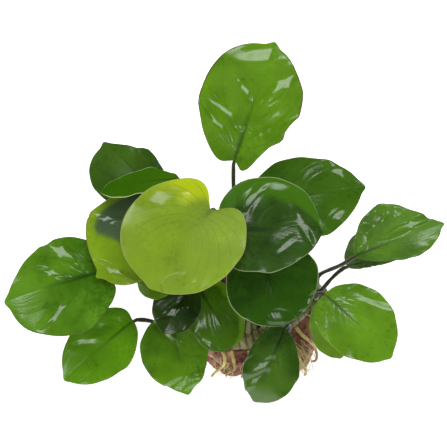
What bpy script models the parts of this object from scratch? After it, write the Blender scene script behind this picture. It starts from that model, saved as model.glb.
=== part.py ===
"""Round-leaved anubias grown onto a lava stone, at its real size.

Metres, +Z up. The origin is the middle of the stone's flat underside. Sizes in the tables
below are millimetres and degrees, and the functions turn them into metres.
"""

import math
from dataclasses import dataclass

import bmesh
import bpy
import numpy as np
from mathutils import Euler, Vector

MM = 0.001

# Driving dimensions, in millimetres
GAP = 0.3
BLADE_THICKNESS = 0.9
STEM_RADIUS_LOW = 1.25
STEM_RADIUS_HIGH = 1.0
RHIZOME_RADIUS = 4.5
ROOT_RADIUS_HIGH = 0.95
ROOT_RADIUS_LOW = 0.6

# The stone: a boxy rounded lump around a centre, cut flat at the height zero
STONE_CENTRE = (2.0, -1.0, 12.0)
STONE_HALF_SIZE = (30.0, 28.0, 17.5)
STONE_BOXINESS = 3.2
STONE_FINENESS = 3

# Lumps on the stone: each a wave of the direction, by its height as a share of the radius,
# its count of radians per unit along X, Y and Z, and where it starts
STONE_LUMPS = (
    (0.0225, (5.0, 4.0, 0.0), 1.7),
    (0.0225, (5.0, -4.0, 0.0), 0.9),
    (0.035, (3.0, 0.0, 7.0), 0.0),
    (0.025, (-5.0, 9.0, 2.0), 1.57),
)

# The rhizome's middle line, from its old end at the back left to its growing end at the right
RHIZOME_ROUTE = (
    (-24.0, 2.0, 28.5),
    (-21.0, -10.0, 28.5),
    (-12.0, -20.0, 29.0),
    (0.0, -20.5, 30.5),
    (12.0, -15.0, 32.0),
    (23.0, -6.0, 33.5),
    (33.0, 3.0, 32.5),
)
RHIZOME_STEPS = 18
RHIZOME_SAMPLES = 201

# How much thinner the rhizome is at its old and growing ends, and over what share of its length
RHIZOME_END_TAPERS = (0.45, 0.35)
RHIZOME_END_SHARES = (0.02, 0.03)

# Steps of the blade's grid: from the stalk to the tip, and from rim to rim
BLADE_STEPS_ALONG = 8
BLADE_STEPS_ACROSS = 8
STEM_STEPS = 7
ROOT_STEPS = 7

# Angles, in radians, that the notch at the stalk and the point at the tip take up
NOTCH_ANGLE = 0.28
NIB_ANGLE = 0.10

# How far the side veins' lines bow back, in blade lengths, and how they crowd near the stalk
VEIN_BOW = 0.07
VEIN_CROWDING = 1.5

# How far behind its joint with the blade a stalk ends, and how far below
STEM_END_BEHIND = 1.2
STEM_END_BELOW = 1.1

# The most of a stalk's span that the bends at its two ends may take up
STEM_RISE_SHARE = 0.40
STEM_REACH_SHARE = 0.36

# The direction in which a stalk reaches its blade, as parts of the blade's own ahead and up and
# of the straight way from the stalk's foot
STEM_ARRIVAL_AHEAD = 0.45
STEM_ARRIVAL_UP = 0.15
STEM_ARRIVAL_STRAIGHT = 0.55

# How far a root strays sideways on its way down, in degrees, and over how many radians
ROOT_STRAY = 2.0
ROOT_STRAY_RATE = 5.0


@dataclass
class Leaf:
    """One leaf: its blade by the place and pose of its joint, and the stalk that carries it.

    Pairs are for the half left and right of the midrib, seen from above with the tip ahead.
    """

    name: str
    base: tuple
    heading: float
    pitch: float
    length: float
    widths: tuple
    node: float
    lean: float
    roll: float = 0.0
    lobes: tuple = (3.0, 3.0)
    belly: tuple = (0.44, 0.44)
    point: tuple = (1.9, 1.9)
    heel: tuple = (2.1, 2.1)
    notch: float = NOTCH_ANGLE
    nib: float = 0.028
    bend: float = 14.0
    fold: float = 3.0
    cup: float = 0.0
    rise: float = 22.0
    reach: float = 20.0
    early: tuple = (0.0, 0.0, 0.0)
    late: tuple = (0.0, 0.0, 0.0)
    tone: str = "mid"


LEAVES = (
    Leaf("back", (-10, 43, 92), heading=72, pitch=16, length=61.5, widths=(25.4, 23.6),
         lobes=(5, 12), belly=(0.48, 0.47), point=(2.3, 1.95), heel=(1.6, 1.05), notch=0.15,
         bend=16, fold=6, cup=-8, node=0.52, lean=62),
    Leaf("back_left_low", (-47, 39.5, 65), heading=130.5, pitch=0, length=40, widths=(21.4, 13),
         belly=(0.44, 0.54), point=(1.9, 1.1), heel=(1.9, 2.1), nib=0.036, bend=10, fold=4,
         node=0.01, lean=-15, tone="dark"),
    Leaf("back_left_high", (-35.2, 35.8, 88), heading=-177.5, pitch=-4, roll=42, length=37,
         widths=(16.8, 17.8), lobes=(4, 1), belly=(0.50, 0.38), point=(2.05, 2.2),
         heel=(2.1, 1.2), bend=12, fold=2, node=0.04, lean=35, tone="dark"),
    Leaf("crown", (-20.6, 8.2, 109), heading=-130, pitch=-6, length=43.5, widths=(24.7, 32.6),
         lobes=(11.5, 12), belly=(0.33, 0.44), point=(1.9, 2.2), heel=(2.0, 2.1), nib=0.022,
         bend=18, fold=-2, cup=-14, node=0.47, lean=35, early=(6, 10, 0), late=(-2, -6, 0),
         tone="fresh"),
    Leaf("crown_left", (-40.6, 19, 80), heading=-144, pitch=-8, length=41, widths=(18.2, 26.7),
         lobes=(6, 10), belly=(0.41, 0.63), point=(2.15, 1.7), heel=(2.1, 2.4), nib=0.06, bend=16,
         fold=2, node=0.10, lean=20, tone="fresh"),
    Leaf("far_left", (-74, -1, 63), heading=-167, pitch=-4, length=45, widths=(28, 22.8),
         lobes=(10, 9.3), belly=(0.29, 0.385), point=(2.0, 1.53), heel=(1.7, 1.9), nib=0.045,
         bend=18, node=0.07, lean=-45, early=(0, 8, 4)),
    Leaf("front_far_left", (-58, -15, 39), heading=-145, pitch=-14, length=43,
         widths=(16.6, 17.3), lobes=(0.5, 5), belly=(0.39, 0.44), point=(1.75, 1.8),
         heel=(1.7, 1.6), nib=0.037, bend=16, node=0.255, lean=-68),
    Leaf("front_left", (-41, -16.5, 49), heading=-72, pitch=-36, length=40.7,
         widths=(15.1, 17.9), lobes=(4, 1), belly=(0.445, 0.42), point=(1.5, 1.6), nib=0.037,
         bend=16, node=0.21, lean=-50, early=(-2, 1, 0)),
    Leaf("shaded", (-31, -10, 67), heading=-122, pitch=-20, length=24, widths=(11, 12),
         lobes=(2, 2), bend=10, node=0.165, lean=-30, reach=14, early=(-5, 0, 0), late=(-11, 3, 0),
         tone="dark"),
    Leaf("inner_left", (-27, -5, 57), heading=-54, pitch=-30, length=35.4, widths=(13.6, 14.2),
         point=(2.35, 2.05), nib=0.0, bend=20, node=0.25, lean=10, reach=12),
    Leaf("inner_right", (0.6, 0, 84), heading=-65, pitch=-28, length=37.7, widths=(23.4, 20.8),
         lobes=(5.7, 5.8), belly=(0.43, 0.475), point=(2.0, 1.55), heel=(1.75, 2.25), nib=0.023,
         bend=24, node=0.63, lean=-10, tone="dark"),
    Leaf("centre", (-8.5, 3.3, 98), heading=6.6, pitch=-4, length=39.6, widths=(27.9, 20.9),
         lobes=(9.8, 8.5), belly=(0.38, 0.30), point=(2.6, 1.5), heel=(2.1, 3.2), nib=0.02,
         bend=18, fold=-2, node=0.58, lean=30, late=(0, 5, 0), tone="dark"),
    Leaf("back_right", (3, 27, 76), heading=15.7, pitch=2, length=50.2, widths=(21.3, 22.5),
         lobes=(4.7, 5), belly=(0.385, 0.49), point=(1.88, 1.36), heel=(2.0, 2.1), nib=0.038,
         bend=16, node=0.68, lean=45, tone="dark"),
    Leaf("far_right", (46.5, 6.3, 66), heading=19.8, pitch=10, length=43.3, widths=(19.3, 12.7),
         lobes=(0, 1.9), belly=(0.46, 0.605), point=(1.3, 1.64), heel=(1.6, 1.4), nib=0.048,
         bend=10, fold=12, node=0.98, lean=25, late=(-3, -2, -1)),
    Leaf("far_right_low", (43.5, 5.8, 56), heading=13.5, pitch=-2, length=26, widths=(16, 2.8),
         lobes=(1.3, 2), belly=(0.43, 0.42), heel=(1.65, 2.2), bend=10, fold=8, node=0.92,
         lean=-15, tone="dark"),
    Leaf("front_right", (32, -11.5, 62), heading=-40.5, pitch=-8, length=42, widths=(18.8, 17),
         lobes=(1.6, 1), belly=(0.448, 0.446), point=(1.94, 1.78), heel=(1.6, 2.5), bend=18,
         node=0.78, lean=-10),
    Leaf("front_right_low", (33, -11, 50), heading=-70, pitch=-30, length=27, widths=(13, 11),
         bend=10, node=0.84, lean=-62, tone="dark"),
    Leaf("front", (14, -23.5, 50), heading=-120.5, pitch=-40, length=41.8, widths=(15.8, 11.3),
         lobes=(1, 1.4), belly=(0.44, 0.608), point=(1.9, 1.65), heel=(1.4, 2.4), bend=16,
         fold=4, node=0.68, lean=-55, tone="dark"),
    Leaf("small", (-41, -3, 73), heading=-140, pitch=-18, length=17, widths=(10, 9),
         lobes=(2, 2), nib=0.0, bend=10, node=0.125, lean=-40, early=(-5, 2, 0)),
)


@dataclass
class Root:
    """One root: where it leaves the rhizome, and its way down the stone by compass angle.

    The angles are around the stone's centre, from +X towards +Y, at the root's top and foot.
    The slopes are the elevations of the same two points, seen from that centre.
    """

    name: str
    node: float
    lean: float
    top: float
    foot: float
    slope_top: float
    slope_foot: float
    stand_off: float = 0.0


ROOTS = (
    Root("front_left", 0.30, -125, -121, -128, 22, -18, stand_off=2.0),
    Root("front_left_short", 0.36, -130, -112, -116, 20, -8),
    Root("front", 0.45, -130, -97, -104, 22, -19),
    Root("front_middle", 0.52, -135, -85, -80, 24, -12),
    Root("front_right", 0.66, -125, -58, -47, 30, -17, stand_off=2.5),
    Root("front_right_low", 0.74, -130, -38, -34, 30, -18, stand_off=1.0),
    Root("right", 0.86, -140, -13, -20, 22, -17),
    Root("back_right", 0.86, 120, 14, 34, 33, -14),
    Root("left", 0.14, -130, 193, 200, 14, -20),
    Root("back_left", 0.04, -130, 170, 158, 14, -16),
)

COLOURS = {
    "blade_fresh": ((0.20, 0.32, 0.025), 0.28),
    "blade_mid": ((0.065, 0.20, 0.010), 0.25),
    "blade_dark": ((0.022, 0.085, 0.008), 0.22),
    "stem": ((0.060, 0.065, 0.025), 0.40),
    "rhizome": ((0.24, 0.20, 0.075), 0.60),
    "root": ((0.50, 0.42, 0.13), 0.55),
    "stone": ((0.23, 0.105, 0.070), 0.90),
}


def clear_scene():
    """Remove whatever the new file holds."""
    for old in list(bpy.data.objects):
        bpy.data.objects.remove(old, do_unlink=True)


def new_collection(name):
    """A collection linked to the scene."""
    collection = bpy.data.collections.new(name)
    bpy.context.scene.collection.children.link(collection)
    return collection


def make_material(name):
    """A plain material with the colour and roughness of one of the plant's tissues."""
    colour, roughness = COLOURS[name]
    material = bpy.data.materials.new(name)
    material.use_nodes = True
    shader = material.node_tree.nodes["Principled BSDF"]
    shader.inputs["Base Color"].default_value = (*colour, 1.0)
    shader.inputs["Roughness"].default_value = roughness
    shader.inputs["Metallic"].default_value = 0.0
    return material


def smooth_route(points, steps):
    """Points along a smooth curve through the given ones (Catmull-Rom), evenly by index."""
    points = np.asarray(points, float)
    first = 2 * points[0] - points[1]
    last = 2 * points[-1] - points[-2]
    padded = np.vstack([first, points, last])
    spans = len(points) - 1
    along = np.linspace(0.0, spans, steps)
    span = np.minimum(along.astype(int), spans - 1)
    f = (along - span)[:, None]
    a, b, c, d = (padded[span + k] for k in range(4))
    linear = (c - a) * f
    square = (2 * a - 5 * b + 4 * c - d) * f**2
    cube = (3 * b - 3 * c + d - a) * f**3
    return 0.5 * (2 * b + linear + square + cube)


def rhizome_place(node, lean):
    """The point of the rhizome's middle line at a share of its length, and a unit vector.

    The vector stands square to the rhizome: upright at a lean of 0, and tilted by the lean
    towards the side that lies left of the way from the old end to the growing end.
    """
    route = smooth_route(RHIZOME_ROUTE, RHIZOME_SAMPLES)
    last = RHIZOME_SAMPLES - 1
    index = round(node * last)
    way = route[min(index + 1, last)] - route[max(index - 1, 0)]
    way /= np.linalg.norm(way)
    side = np.cross((0.0, 0.0, 1.0), way)
    side /= np.linalg.norm(side)
    upright = np.cross(way, side)
    angle = math.radians(lean)
    return route[index], math.cos(angle) * upright + math.sin(angle) * side


def blade_margin(leaf, side, t):
    """The rim of half a blade in its own flat frame, in millimetres.

    t runs from 0 at the stalk to 1 at the tip. Around a centre on the midrib the rim is a
    superellipse, longer ahead than behind, with a notch cut in at the stalk and a small point
    drawn out at the tip.
    """
    half = 0 if side > 0 else 1
    centre = leaf.belly[half] * leaf.length
    lobe = leaf.lobes[half]
    angle = math.pi * (1 - t)
    ahead = angle < math.pi / 2
    reach = np.where(ahead, leaf.length - centre, centre + lobe)
    power = np.where(ahead, leaf.point[half], leaf.heel[half])
    along = (np.abs(np.cos(angle)) / reach) ** power
    across = (np.abs(np.sin(angle)) / leaf.widths[half]) ** power
    radius = (along + across) ** (-1 / power)
    notch = lobe / (centre + lobe) * np.exp(-(((math.pi - angle) / leaf.notch) ** 2))
    nib = leaf.nib * leaf.length / reach * np.exp(-((angle / NIB_ANGLE) ** 2))
    radius = radius * (1 - notch) * (1 + nib)
    return centre + radius * np.cos(angle), side * radius * np.sin(angle)


def arc(distance, start, turn, full):
    """Run along an arc that starts at one angle and has turned by another at its full length.

    Returns how far it gets ahead and how far up, for each distance along it.
    """
    turn = turn if abs(turn) > 0.001 else 0.001
    angle = start + turn * distance / full
    ahead = full * (np.sin(angle) - math.sin(start)) / turn
    up = full * (math.cos(start) - np.cos(angle)) / turn
    return ahead, up


def blade_points(leaf, t, v):
    """Points of the blade in its own frame: joint at zero, tip towards +X, upper face +Z.

    t is the way from stalk to tip and v runs from -1 at the right rim over 0 on the midrib to
    1 at the left rim. Each half is spun between the midrib and its rim along lines that leave
    the midrib slanting forwards, as the side veins do. The flat blade is then bent twice, on
    arcs: up or down on both sides of the midrib, and downwards from stalk to tip.
    """
    out = np.abs(v)
    x = np.empty_like(t)
    y = np.empty_like(t)
    for half, side in enumerate((1, -1)):
        mine = (v >= 0) if side > 0 else (v < 0)
        rim_x, rim_y = blade_margin(leaf, side, t[mine])
        rib_x = (1 + leaf.nib) * leaf.length * t[mine] ** VEIN_CROWDING
        bow = VEIN_BOW * leaf.length * np.sin(math.pi * out[mine]) * np.sin(math.pi * t[mine]) ** 2
        x[mine] = rib_x + (rim_x - rib_x) * out[mine] - bow
        y[mine] = rim_y * out[mine]
    across, height = arc(np.abs(y), math.radians(leaf.fold), math.radians(leaf.cup), max(leaf.widths))
    y = np.sign(y) * across
    turn = math.radians(leaf.bend)
    ahead, drop = arc(x, 0.0, turn, leaf.length)
    tilt = turn * x / leaf.length
    return np.stack([ahead + height * np.sin(tilt), y, height * np.cos(tilt) - drop], axis=-1)


def blade_rotation(leaf):
    """Euler angles that turn the blade to its roll, pitch and heading."""
    return math.radians(leaf.roll), -math.radians(leaf.pitch), math.radians(leaf.heading)


def place(obj, collection, material, parent):
    """Link an object, give it its material and tie it to the plant's empty."""
    collection.objects.link(obj)
    obj.data.materials.append(material)
    obj.parent = parent
    return obj


def make_blade(leaf, collection, materials, parent):
    """A blade: a grid bent to the leaf's surface and thickened on both sides of it."""
    mesh = bpy.data.meshes.new(f"leaf_{leaf.name}")
    grid = bmesh.new()
    bmesh.ops.create_grid(
        grid, x_segments=BLADE_STEPS_ALONG, y_segments=BLADE_STEPS_ACROSS, size=1.0
    )
    flat = np.array([vertex.co[:2] for vertex in grid.verts])
    points = blade_points(leaf, (flat[:, 0] + 1) / 2, flat[:, 1]) * MM
    for vertex, point in zip(grid.verts, points):
        vertex.co = point
    bmesh.ops.remove_doubles(grid, verts=grid.verts, dist=0.02 * MM)
    grid.to_mesh(mesh)
    grid.free()
    mesh.shade_smooth()
    blade = bpy.data.objects.new(f"leaf_{leaf.name}", mesh)
    blade.location = Vector(leaf.base) * MM
    blade.rotation_euler = blade_rotation(leaf)
    thick = blade.modifiers.new("thickness", "SOLIDIFY")
    thick.thickness = BLADE_THICKNESS * MM
    thick.offset = 0.0
    split = blade.modifiers.new("split", "TRIANGULATE")
    split.quad_method = "BEAUTY"
    return place(blade, collection, materials[f"blade_{leaf.tone}"], parent)


def turn_matrix(leaf):
    """The blade's rotation as a 3 by 3 array: its columns are the tip, left and up directions."""
    return np.array(Euler(blade_rotation(leaf), "XYZ").to_matrix())


def stem_route(leaf):
    """The stalk's middle line, in millimetres: a cubic curve from the rhizome to the blade.

    It leaves the rhizome square to it and reaches the blade from behind and below. The early
    and late offsets move its two inner control points, to lead it round its neighbours.
    """
    middle, out = rhizome_place(leaf.node, leaf.lean)
    turned = turn_matrix(leaf)
    ahead, up = turned[:, 0], turned[:, 2]
    start = middle + out * (RHIZOME_RADIUS + GAP)
    end = np.array(leaf.base, float) - up * STEM_END_BELOW - ahead * STEM_END_BEHIND
    span = np.linalg.norm(end - start)
    straight = (end - start) / span
    arrival = STEM_ARRIVAL_AHEAD * ahead + STEM_ARRIVAL_UP * up + STEM_ARRIVAL_STRAIGHT * straight
    arrival /= np.linalg.norm(arrival)
    rise = min(leaf.rise, STEM_RISE_SHARE * span)
    reach = min(leaf.reach, STEM_REACH_SHARE * span)
    low = start + out * rise + np.array(leaf.early)
    high = end - arrival * reach + np.array(leaf.late)
    s = np.linspace(0.0, 1.0, STEM_STEPS)[:, None]
    return (1 - s) ** 3 * start + 3 * (1 - s) ** 2 * s * low + 3 * (1 - s) * s**2 * high + s**3 * end


def make_tube(name, route, radii, collection, material, parent):
    """A round tube along a route in millimetres, with its own radius at each point."""
    curve = bpy.data.curves.new(name, "CURVE")
    curve.dimensions = "3D"
    curve.bevel_depth = MM
    curve.bevel_resolution = 2
    curve.use_fill_caps = True
    spline = curve.splines.new("POLY")
    spline.points.add(len(route) - 1)
    for control, point, radius in zip(spline.points, route, radii):
        control.co = (*(point * MM), 1.0)
        control.radius = radius
    tube = bpy.data.objects.new(name, curve)
    return place(tube, collection, material, parent)


def make_stem(leaf, collection, materials, parent):
    """A stalk, a little thinner towards the blade."""
    radii = np.linspace(STEM_RADIUS_LOW, STEM_RADIUS_HIGH, STEM_STEPS)
    return make_tube(
        f"stem_{leaf.name}", stem_route(leaf), radii, collection, materials["stem"], parent
    )


def stone_radius(direction):
    """How far the stone reaches from its centre, for unit directions in rows.

    A superellipsoid, with low lumps added as slow waves of the direction.
    """
    box = (np.abs(direction / np.array(STONE_HALF_SIZE)) ** STONE_BOXINESS).sum(axis=1)
    lumps = sum(
        height * np.sin(direction @ np.array(rates) + start) for height, rates, start in STONE_LUMPS
    )
    return box ** (-1 / STONE_BOXINESS) * (1 + lumps)


def stone_surface(azimuth, slope, stand_off=0.0):
    """A point of the stone's surface in millimetres, at a compass angle and an elevation."""
    azimuth = np.radians(azimuth)
    slope = np.radians(slope)
    level = np.cos(slope)
    direction = np.stack([np.cos(azimuth) * level, np.sin(azimuth) * level, np.sin(slope)], axis=-1)
    reach = stone_radius(direction) + stand_off
    return np.array(STONE_CENTRE) + direction * reach[:, None]


def rhizome_radii(steps, extra):
    """The rhizome's radius along its length, thinner at both ends, with some extra all round."""
    share = np.linspace(0.0, 1.0, steps)
    old = RHIZOME_END_TAPERS[0] * np.exp(-share / RHIZOME_END_SHARES[0])
    growing = RHIZOME_END_TAPERS[1] * np.exp(-(1 - share) / RHIZOME_END_SHARES[1])
    return RHIZOME_RADIUS * (1 - old - growing) + extra


def make_rhizome(collection, materials, parent):
    """The creeping stem along its route across the stone."""
    route = smooth_route(RHIZOME_ROUTE, RHIZOME_STEPS)
    radii = rhizome_radii(RHIZOME_STEPS, 0.0)
    return make_tube("rhizome", route, radii, collection, materials["rhizome"], parent)


def make_groove_cutter(collection, parent, material):
    """The space that the rhizome takes up in the stone, a gap wider all round."""
    route = smooth_route(RHIZOME_ROUTE, RHIZOME_STEPS)
    radii = rhizome_radii(RHIZOME_STEPS, GAP)
    ends = route[[0, -1]] - route[[1, -2]]
    route[[0, -1]] += GAP * ends / np.linalg.norm(ends, axis=1)[:, None]
    tube = make_tube("groove_tube", route, radii, collection, material, parent)
    bpy.context.view_layer.update()
    solid = bpy.data.meshes.new_from_object(tube.evaluated_get(bpy.context.evaluated_depsgraph_get()))
    welded = bmesh.new()
    welded.from_mesh(solid)
    bmesh.ops.remove_doubles(welded, verts=welded.verts, dist=0.001 * MM)
    bmesh.ops.recalc_face_normals(welded, faces=welded.faces)
    welded.to_mesh(solid)
    welded.free()
    cutter = bpy.data.objects.new("groove_cutter", solid)
    cutter.matrix_world = tube.matrix_world
    collection.objects.link(cutter)
    cutter.hide_render = True
    cutter.display_type = "WIRE"
    bpy.data.objects.remove(tube, do_unlink=True)
    return cutter


def make_stone(collection, materials, parent, cutter):
    """The stone: a ball pushed out to the stone's form, cut flat below, grooved above."""
    mesh = bpy.data.meshes.new("stone")
    ball = bmesh.new()
    bmesh.ops.create_icosphere(ball, subdivisions=STONE_FINENESS, radius=1.0)
    directions = np.array([vertex.co.normalized() for vertex in ball.verts])
    points = np.array(STONE_CENTRE) + directions * stone_radius(directions)[:, None]
    for vertex, point in zip(ball.verts, points):
        vertex.co = point * MM
    everything = ball.verts[:] + ball.edges[:] + ball.faces[:]
    cut = bmesh.ops.bisect_plane(
        ball, geom=everything, dist=1e-6, plane_co=(0, 0, 0), plane_no=(0, 0, 1), clear_inner=True
    )
    rim = [item for item in cut["geom_cut"] if isinstance(item, bmesh.types.BMEdge)]
    bmesh.ops.contextual_create(ball, geom=rim)
    bmesh.ops.recalc_face_normals(ball, faces=ball.faces)
    ball.to_mesh(mesh)
    ball.free()
    stone = bpy.data.objects.new("stone", mesh)
    groove = stone.modifiers.new("groove", "BOOLEAN")
    groove.operation = "DIFFERENCE"
    groove.solver = "EXACT"
    groove.object = cutter
    return place(stone, collection, materials["stone"], parent)


def root_route(root):
    """A root's middle line, in millimetres: off the rhizome, then down over the stone."""
    middle, out = rhizome_place(root.node, root.lean)
    start = middle + out * (RHIZOME_RADIUS + GAP + ROOT_RADIUS_HIGH)
    lengthwise = np.linspace(0.0, 1.0, ROOT_STEPS - 2)
    stray = ROOT_STRAY * np.sin(ROOT_STRAY_RATE * lengthwise)
    azimuth = root.top + (root.foot - root.top) * lengthwise + stray
    slope = root.slope_top + (root.slope_foot - root.slope_top) * lengthwise
    off = ROOT_RADIUS_HIGH + 2 * GAP + root.stand_off * lengthwise**2
    face = stone_surface(azimuth, slope, off)
    return smooth_route(np.vstack([start, face]), ROOT_STEPS + 1)


def make_root(root, collection, materials, parent):
    """A root that thins towards its foot."""
    route = root_route(root)
    radii = np.linspace(ROOT_RADIUS_HIGH, ROOT_RADIUS_LOW, len(route))
    return make_tube(f"root_{root.name}", route, radii, collection, materials["root"], parent)


def build():
    """Model the whole plant on its stone."""
    clear_scene()
    parts = new_collection("anubias_on_stone")
    cutters = new_collection("cutters")
    materials = {name: make_material(name) for name in COLOURS}
    plant = bpy.data.objects.new("plant", None)
    parts.objects.link(plant)
    cutter = make_groove_cutter(cutters, plant, materials["rhizome"])
    make_stone(parts, materials, plant, cutter)
    make_rhizome(parts, materials, plant)
    for root in ROOTS:
        make_root(root, parts, materials, plant)
    for leaf in LEAVES:
        make_stem(leaf, parts, materials, plant)
        make_blade(leaf, parts, materials, plant)


build()
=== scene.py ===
# %% [markdown]
# # A round-leaved anubias grown onto a lava stone
# The plant's plain solids are packed already: 19 blades, 19 stalks, a creeping stem, ten roots
# and a stone. This lesson dresses them. Each piece is worked out again as a fine surface on the
# same measures, so nothing has to be fitted by eye, and gets the finish of the real tissue.

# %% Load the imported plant
import math
from dataclasses import dataclass, replace

import bmesh
import bpy
import numpy as np
from mathutils import Euler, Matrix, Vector


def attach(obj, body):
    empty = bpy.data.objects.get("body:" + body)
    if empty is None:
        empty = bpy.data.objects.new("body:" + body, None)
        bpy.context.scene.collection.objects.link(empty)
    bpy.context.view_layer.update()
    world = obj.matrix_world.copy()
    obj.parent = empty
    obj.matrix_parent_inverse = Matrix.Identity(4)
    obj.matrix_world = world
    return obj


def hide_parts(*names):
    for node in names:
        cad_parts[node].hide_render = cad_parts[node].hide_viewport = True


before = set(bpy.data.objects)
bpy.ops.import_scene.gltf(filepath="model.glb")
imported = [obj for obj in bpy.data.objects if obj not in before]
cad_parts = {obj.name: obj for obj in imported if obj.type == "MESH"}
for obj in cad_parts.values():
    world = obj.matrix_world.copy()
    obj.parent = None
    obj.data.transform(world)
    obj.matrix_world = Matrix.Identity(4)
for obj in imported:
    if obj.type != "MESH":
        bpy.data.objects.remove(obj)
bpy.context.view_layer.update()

MM = 0.001

# %% [markdown]
# ## Grids of points become meshes
# Every surface here is a grid: its rows run along the piece and its columns across or around it.
# One function turns such grids into a mesh, gives it a UV map that says how far along and how far
# across each point lies, and welds what meets: rims, seams and the points where a row shrinks to
# nothing. Welding afterwards is simpler than special faces at every pole.

# %% Put grids into a mesh
def put_object(name, data):
    """A new object with this data, in the scene."""
    thing = bpy.data.objects.new(name, data)
    bpy.context.scene.collection.objects.link(thing)
    return thing


def grid_faces(rows, columns, first=0):
    """The faces (i, j), (i+1, j), (i+1, j+1), (i, j+1) of a grid whose points count from `first`.

    So a face's normal is the way along the rows times the way along the columns.
    """
    index = first + np.arange(rows * columns).reshape(rows, columns)
    corners = index[:-1, :-1], index[1:, :-1], index[1:, 1:], index[:-1, 1:]
    return np.stack(corners, axis=-1).reshape(-1, 4)


def put_surface(name, sheets, nodes=(), weld=0.0015):
    """One smooth object from grids, each (points in mm with shape (n, m, 3), uv (n, m, 2)).

    Points nearer than `weld` mm become one.
    """
    points, uvs, faces, first = [], [], [], 0
    for grid, uv in sheets:
        rows, columns = grid.shape[:2]
        faces.append(grid_faces(rows, columns, first))
        points.append(grid.reshape(-1, 3) * MM)
        uvs.append(uv.reshape(-1, 2))
        first += rows * columns
    points, uvs, faces = np.vstack(points), np.vstack(uvs), np.vstack(faces)
    mesh = bpy.data.meshes.new(name)
    mesh.from_pydata(points.tolist(), [], faces.tolist())
    layer = mesh.uv_layers.new(name="UVMap")
    layer.data.foreach_set("uv", uvs[faces.ravel()].astype(np.float32).ravel())
    welded = bmesh.new()
    welded.from_mesh(mesh)
    bmesh.ops.remove_doubles(welded, verts=welded.verts, dist=weld * MM)
    bmesh.ops.dissolve_degenerate(welded, edges=welded.edges, dist=weld * MM * 0.5)
    welded.to_mesh(mesh)
    welded.free()
    mesh.shade_smooth()
    piece = put_object(name, mesh)
    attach(piece, "root")
    if nodes:
        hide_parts(*nodes)
    return piece


# %% [markdown]
# ## Smooth random numbers
# Living things and broken stone are never quite even. The unevenness comes from value noise:
# random numbers on a lattice, with smooth steps between them. It is worked out for whole arrays
# at once and from fixed seeds, so the plant is the same at each run.

# %% Noise on arrays
LATTICE = 16
LATTICE_START = 37.3


def noise(points, size, seed):
    """Smooth random numbers from -1 to 1, with bumps about `size` apart, at points in rows."""
    table = np.random.default_rng(seed).uniform(-1, 1, (LATTICE,) * 3)
    place = np.asarray(points, float) / size + LATTICE_START
    cell = np.floor(place).astype(int)
    f = place - cell
    f = f * f * (3 - 2 * f)
    total = 0
    for corner in np.ndindex(2, 2, 2):
        weight = np.prod(np.where(corner, f, 1 - f), axis=-1)
        x, y, z = np.moveaxis((cell + corner) % LATTICE, -1, 0)
        total = total + weight * table[x, y, z]
    return total


def cells(points, size, seed):
    """Distance to the nearest of points strewn one to a cell of a lattice, in cell sizes."""
    shift = np.random.default_rng(seed).uniform(0.1, 0.9, (LATTICE, LATTICE, LATTICE, 3))
    place = np.asarray(points, float) / size + LATTICE_START
    cell = np.floor(place).astype(int)
    nearest = np.full(place.shape[:-1], np.inf)
    for step in np.ndindex(3, 3, 3):
        other = cell + step - 1
        x, y, z = np.moveaxis(other % LATTICE, -1, 0)
        away = other + shift[x, y, z] - place
        nearest = np.minimum(nearest, np.sqrt((away**2).sum(axis=-1)))
    return nearest


# %% [markdown]
# ## The plant's measures
# The solids were made from a short table: where each blade joins its stalk, which way it points,
# how long and wide it is, and where its stalk leaves the creeping stem. The same table is
# repeated here, in millimetres and degrees, because the dressed blade has to lie where the solid
# one is. Pairs are for the half left and right of the midrib.

# %% The leaves
@dataclass
class Leaf:
    """One leaf: its blade by the place and pose of its joint, and the stalk that carries it."""

    name: str
    base: tuple
    heading: float
    pitch: float
    length: float
    widths: tuple
    node: float
    lean: float
    roll: float = 0.0
    lobes: tuple = (3.0, 3.0)
    belly: tuple = (0.44, 0.44)
    point: tuple = (1.9, 1.9)
    heel: tuple = (2.1, 2.1)
    notch: float = 0.28
    nib: float = 0.028
    bend: float = 14.0
    fold: float = 3.0
    cup: float = 0.0
    rise: float = 22.0
    reach: float = 20.0
    early: tuple = (0.0, 0.0, 0.0)
    late: tuple = (0.0, 0.0, 0.0)
    tone: str = "mid"


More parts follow.
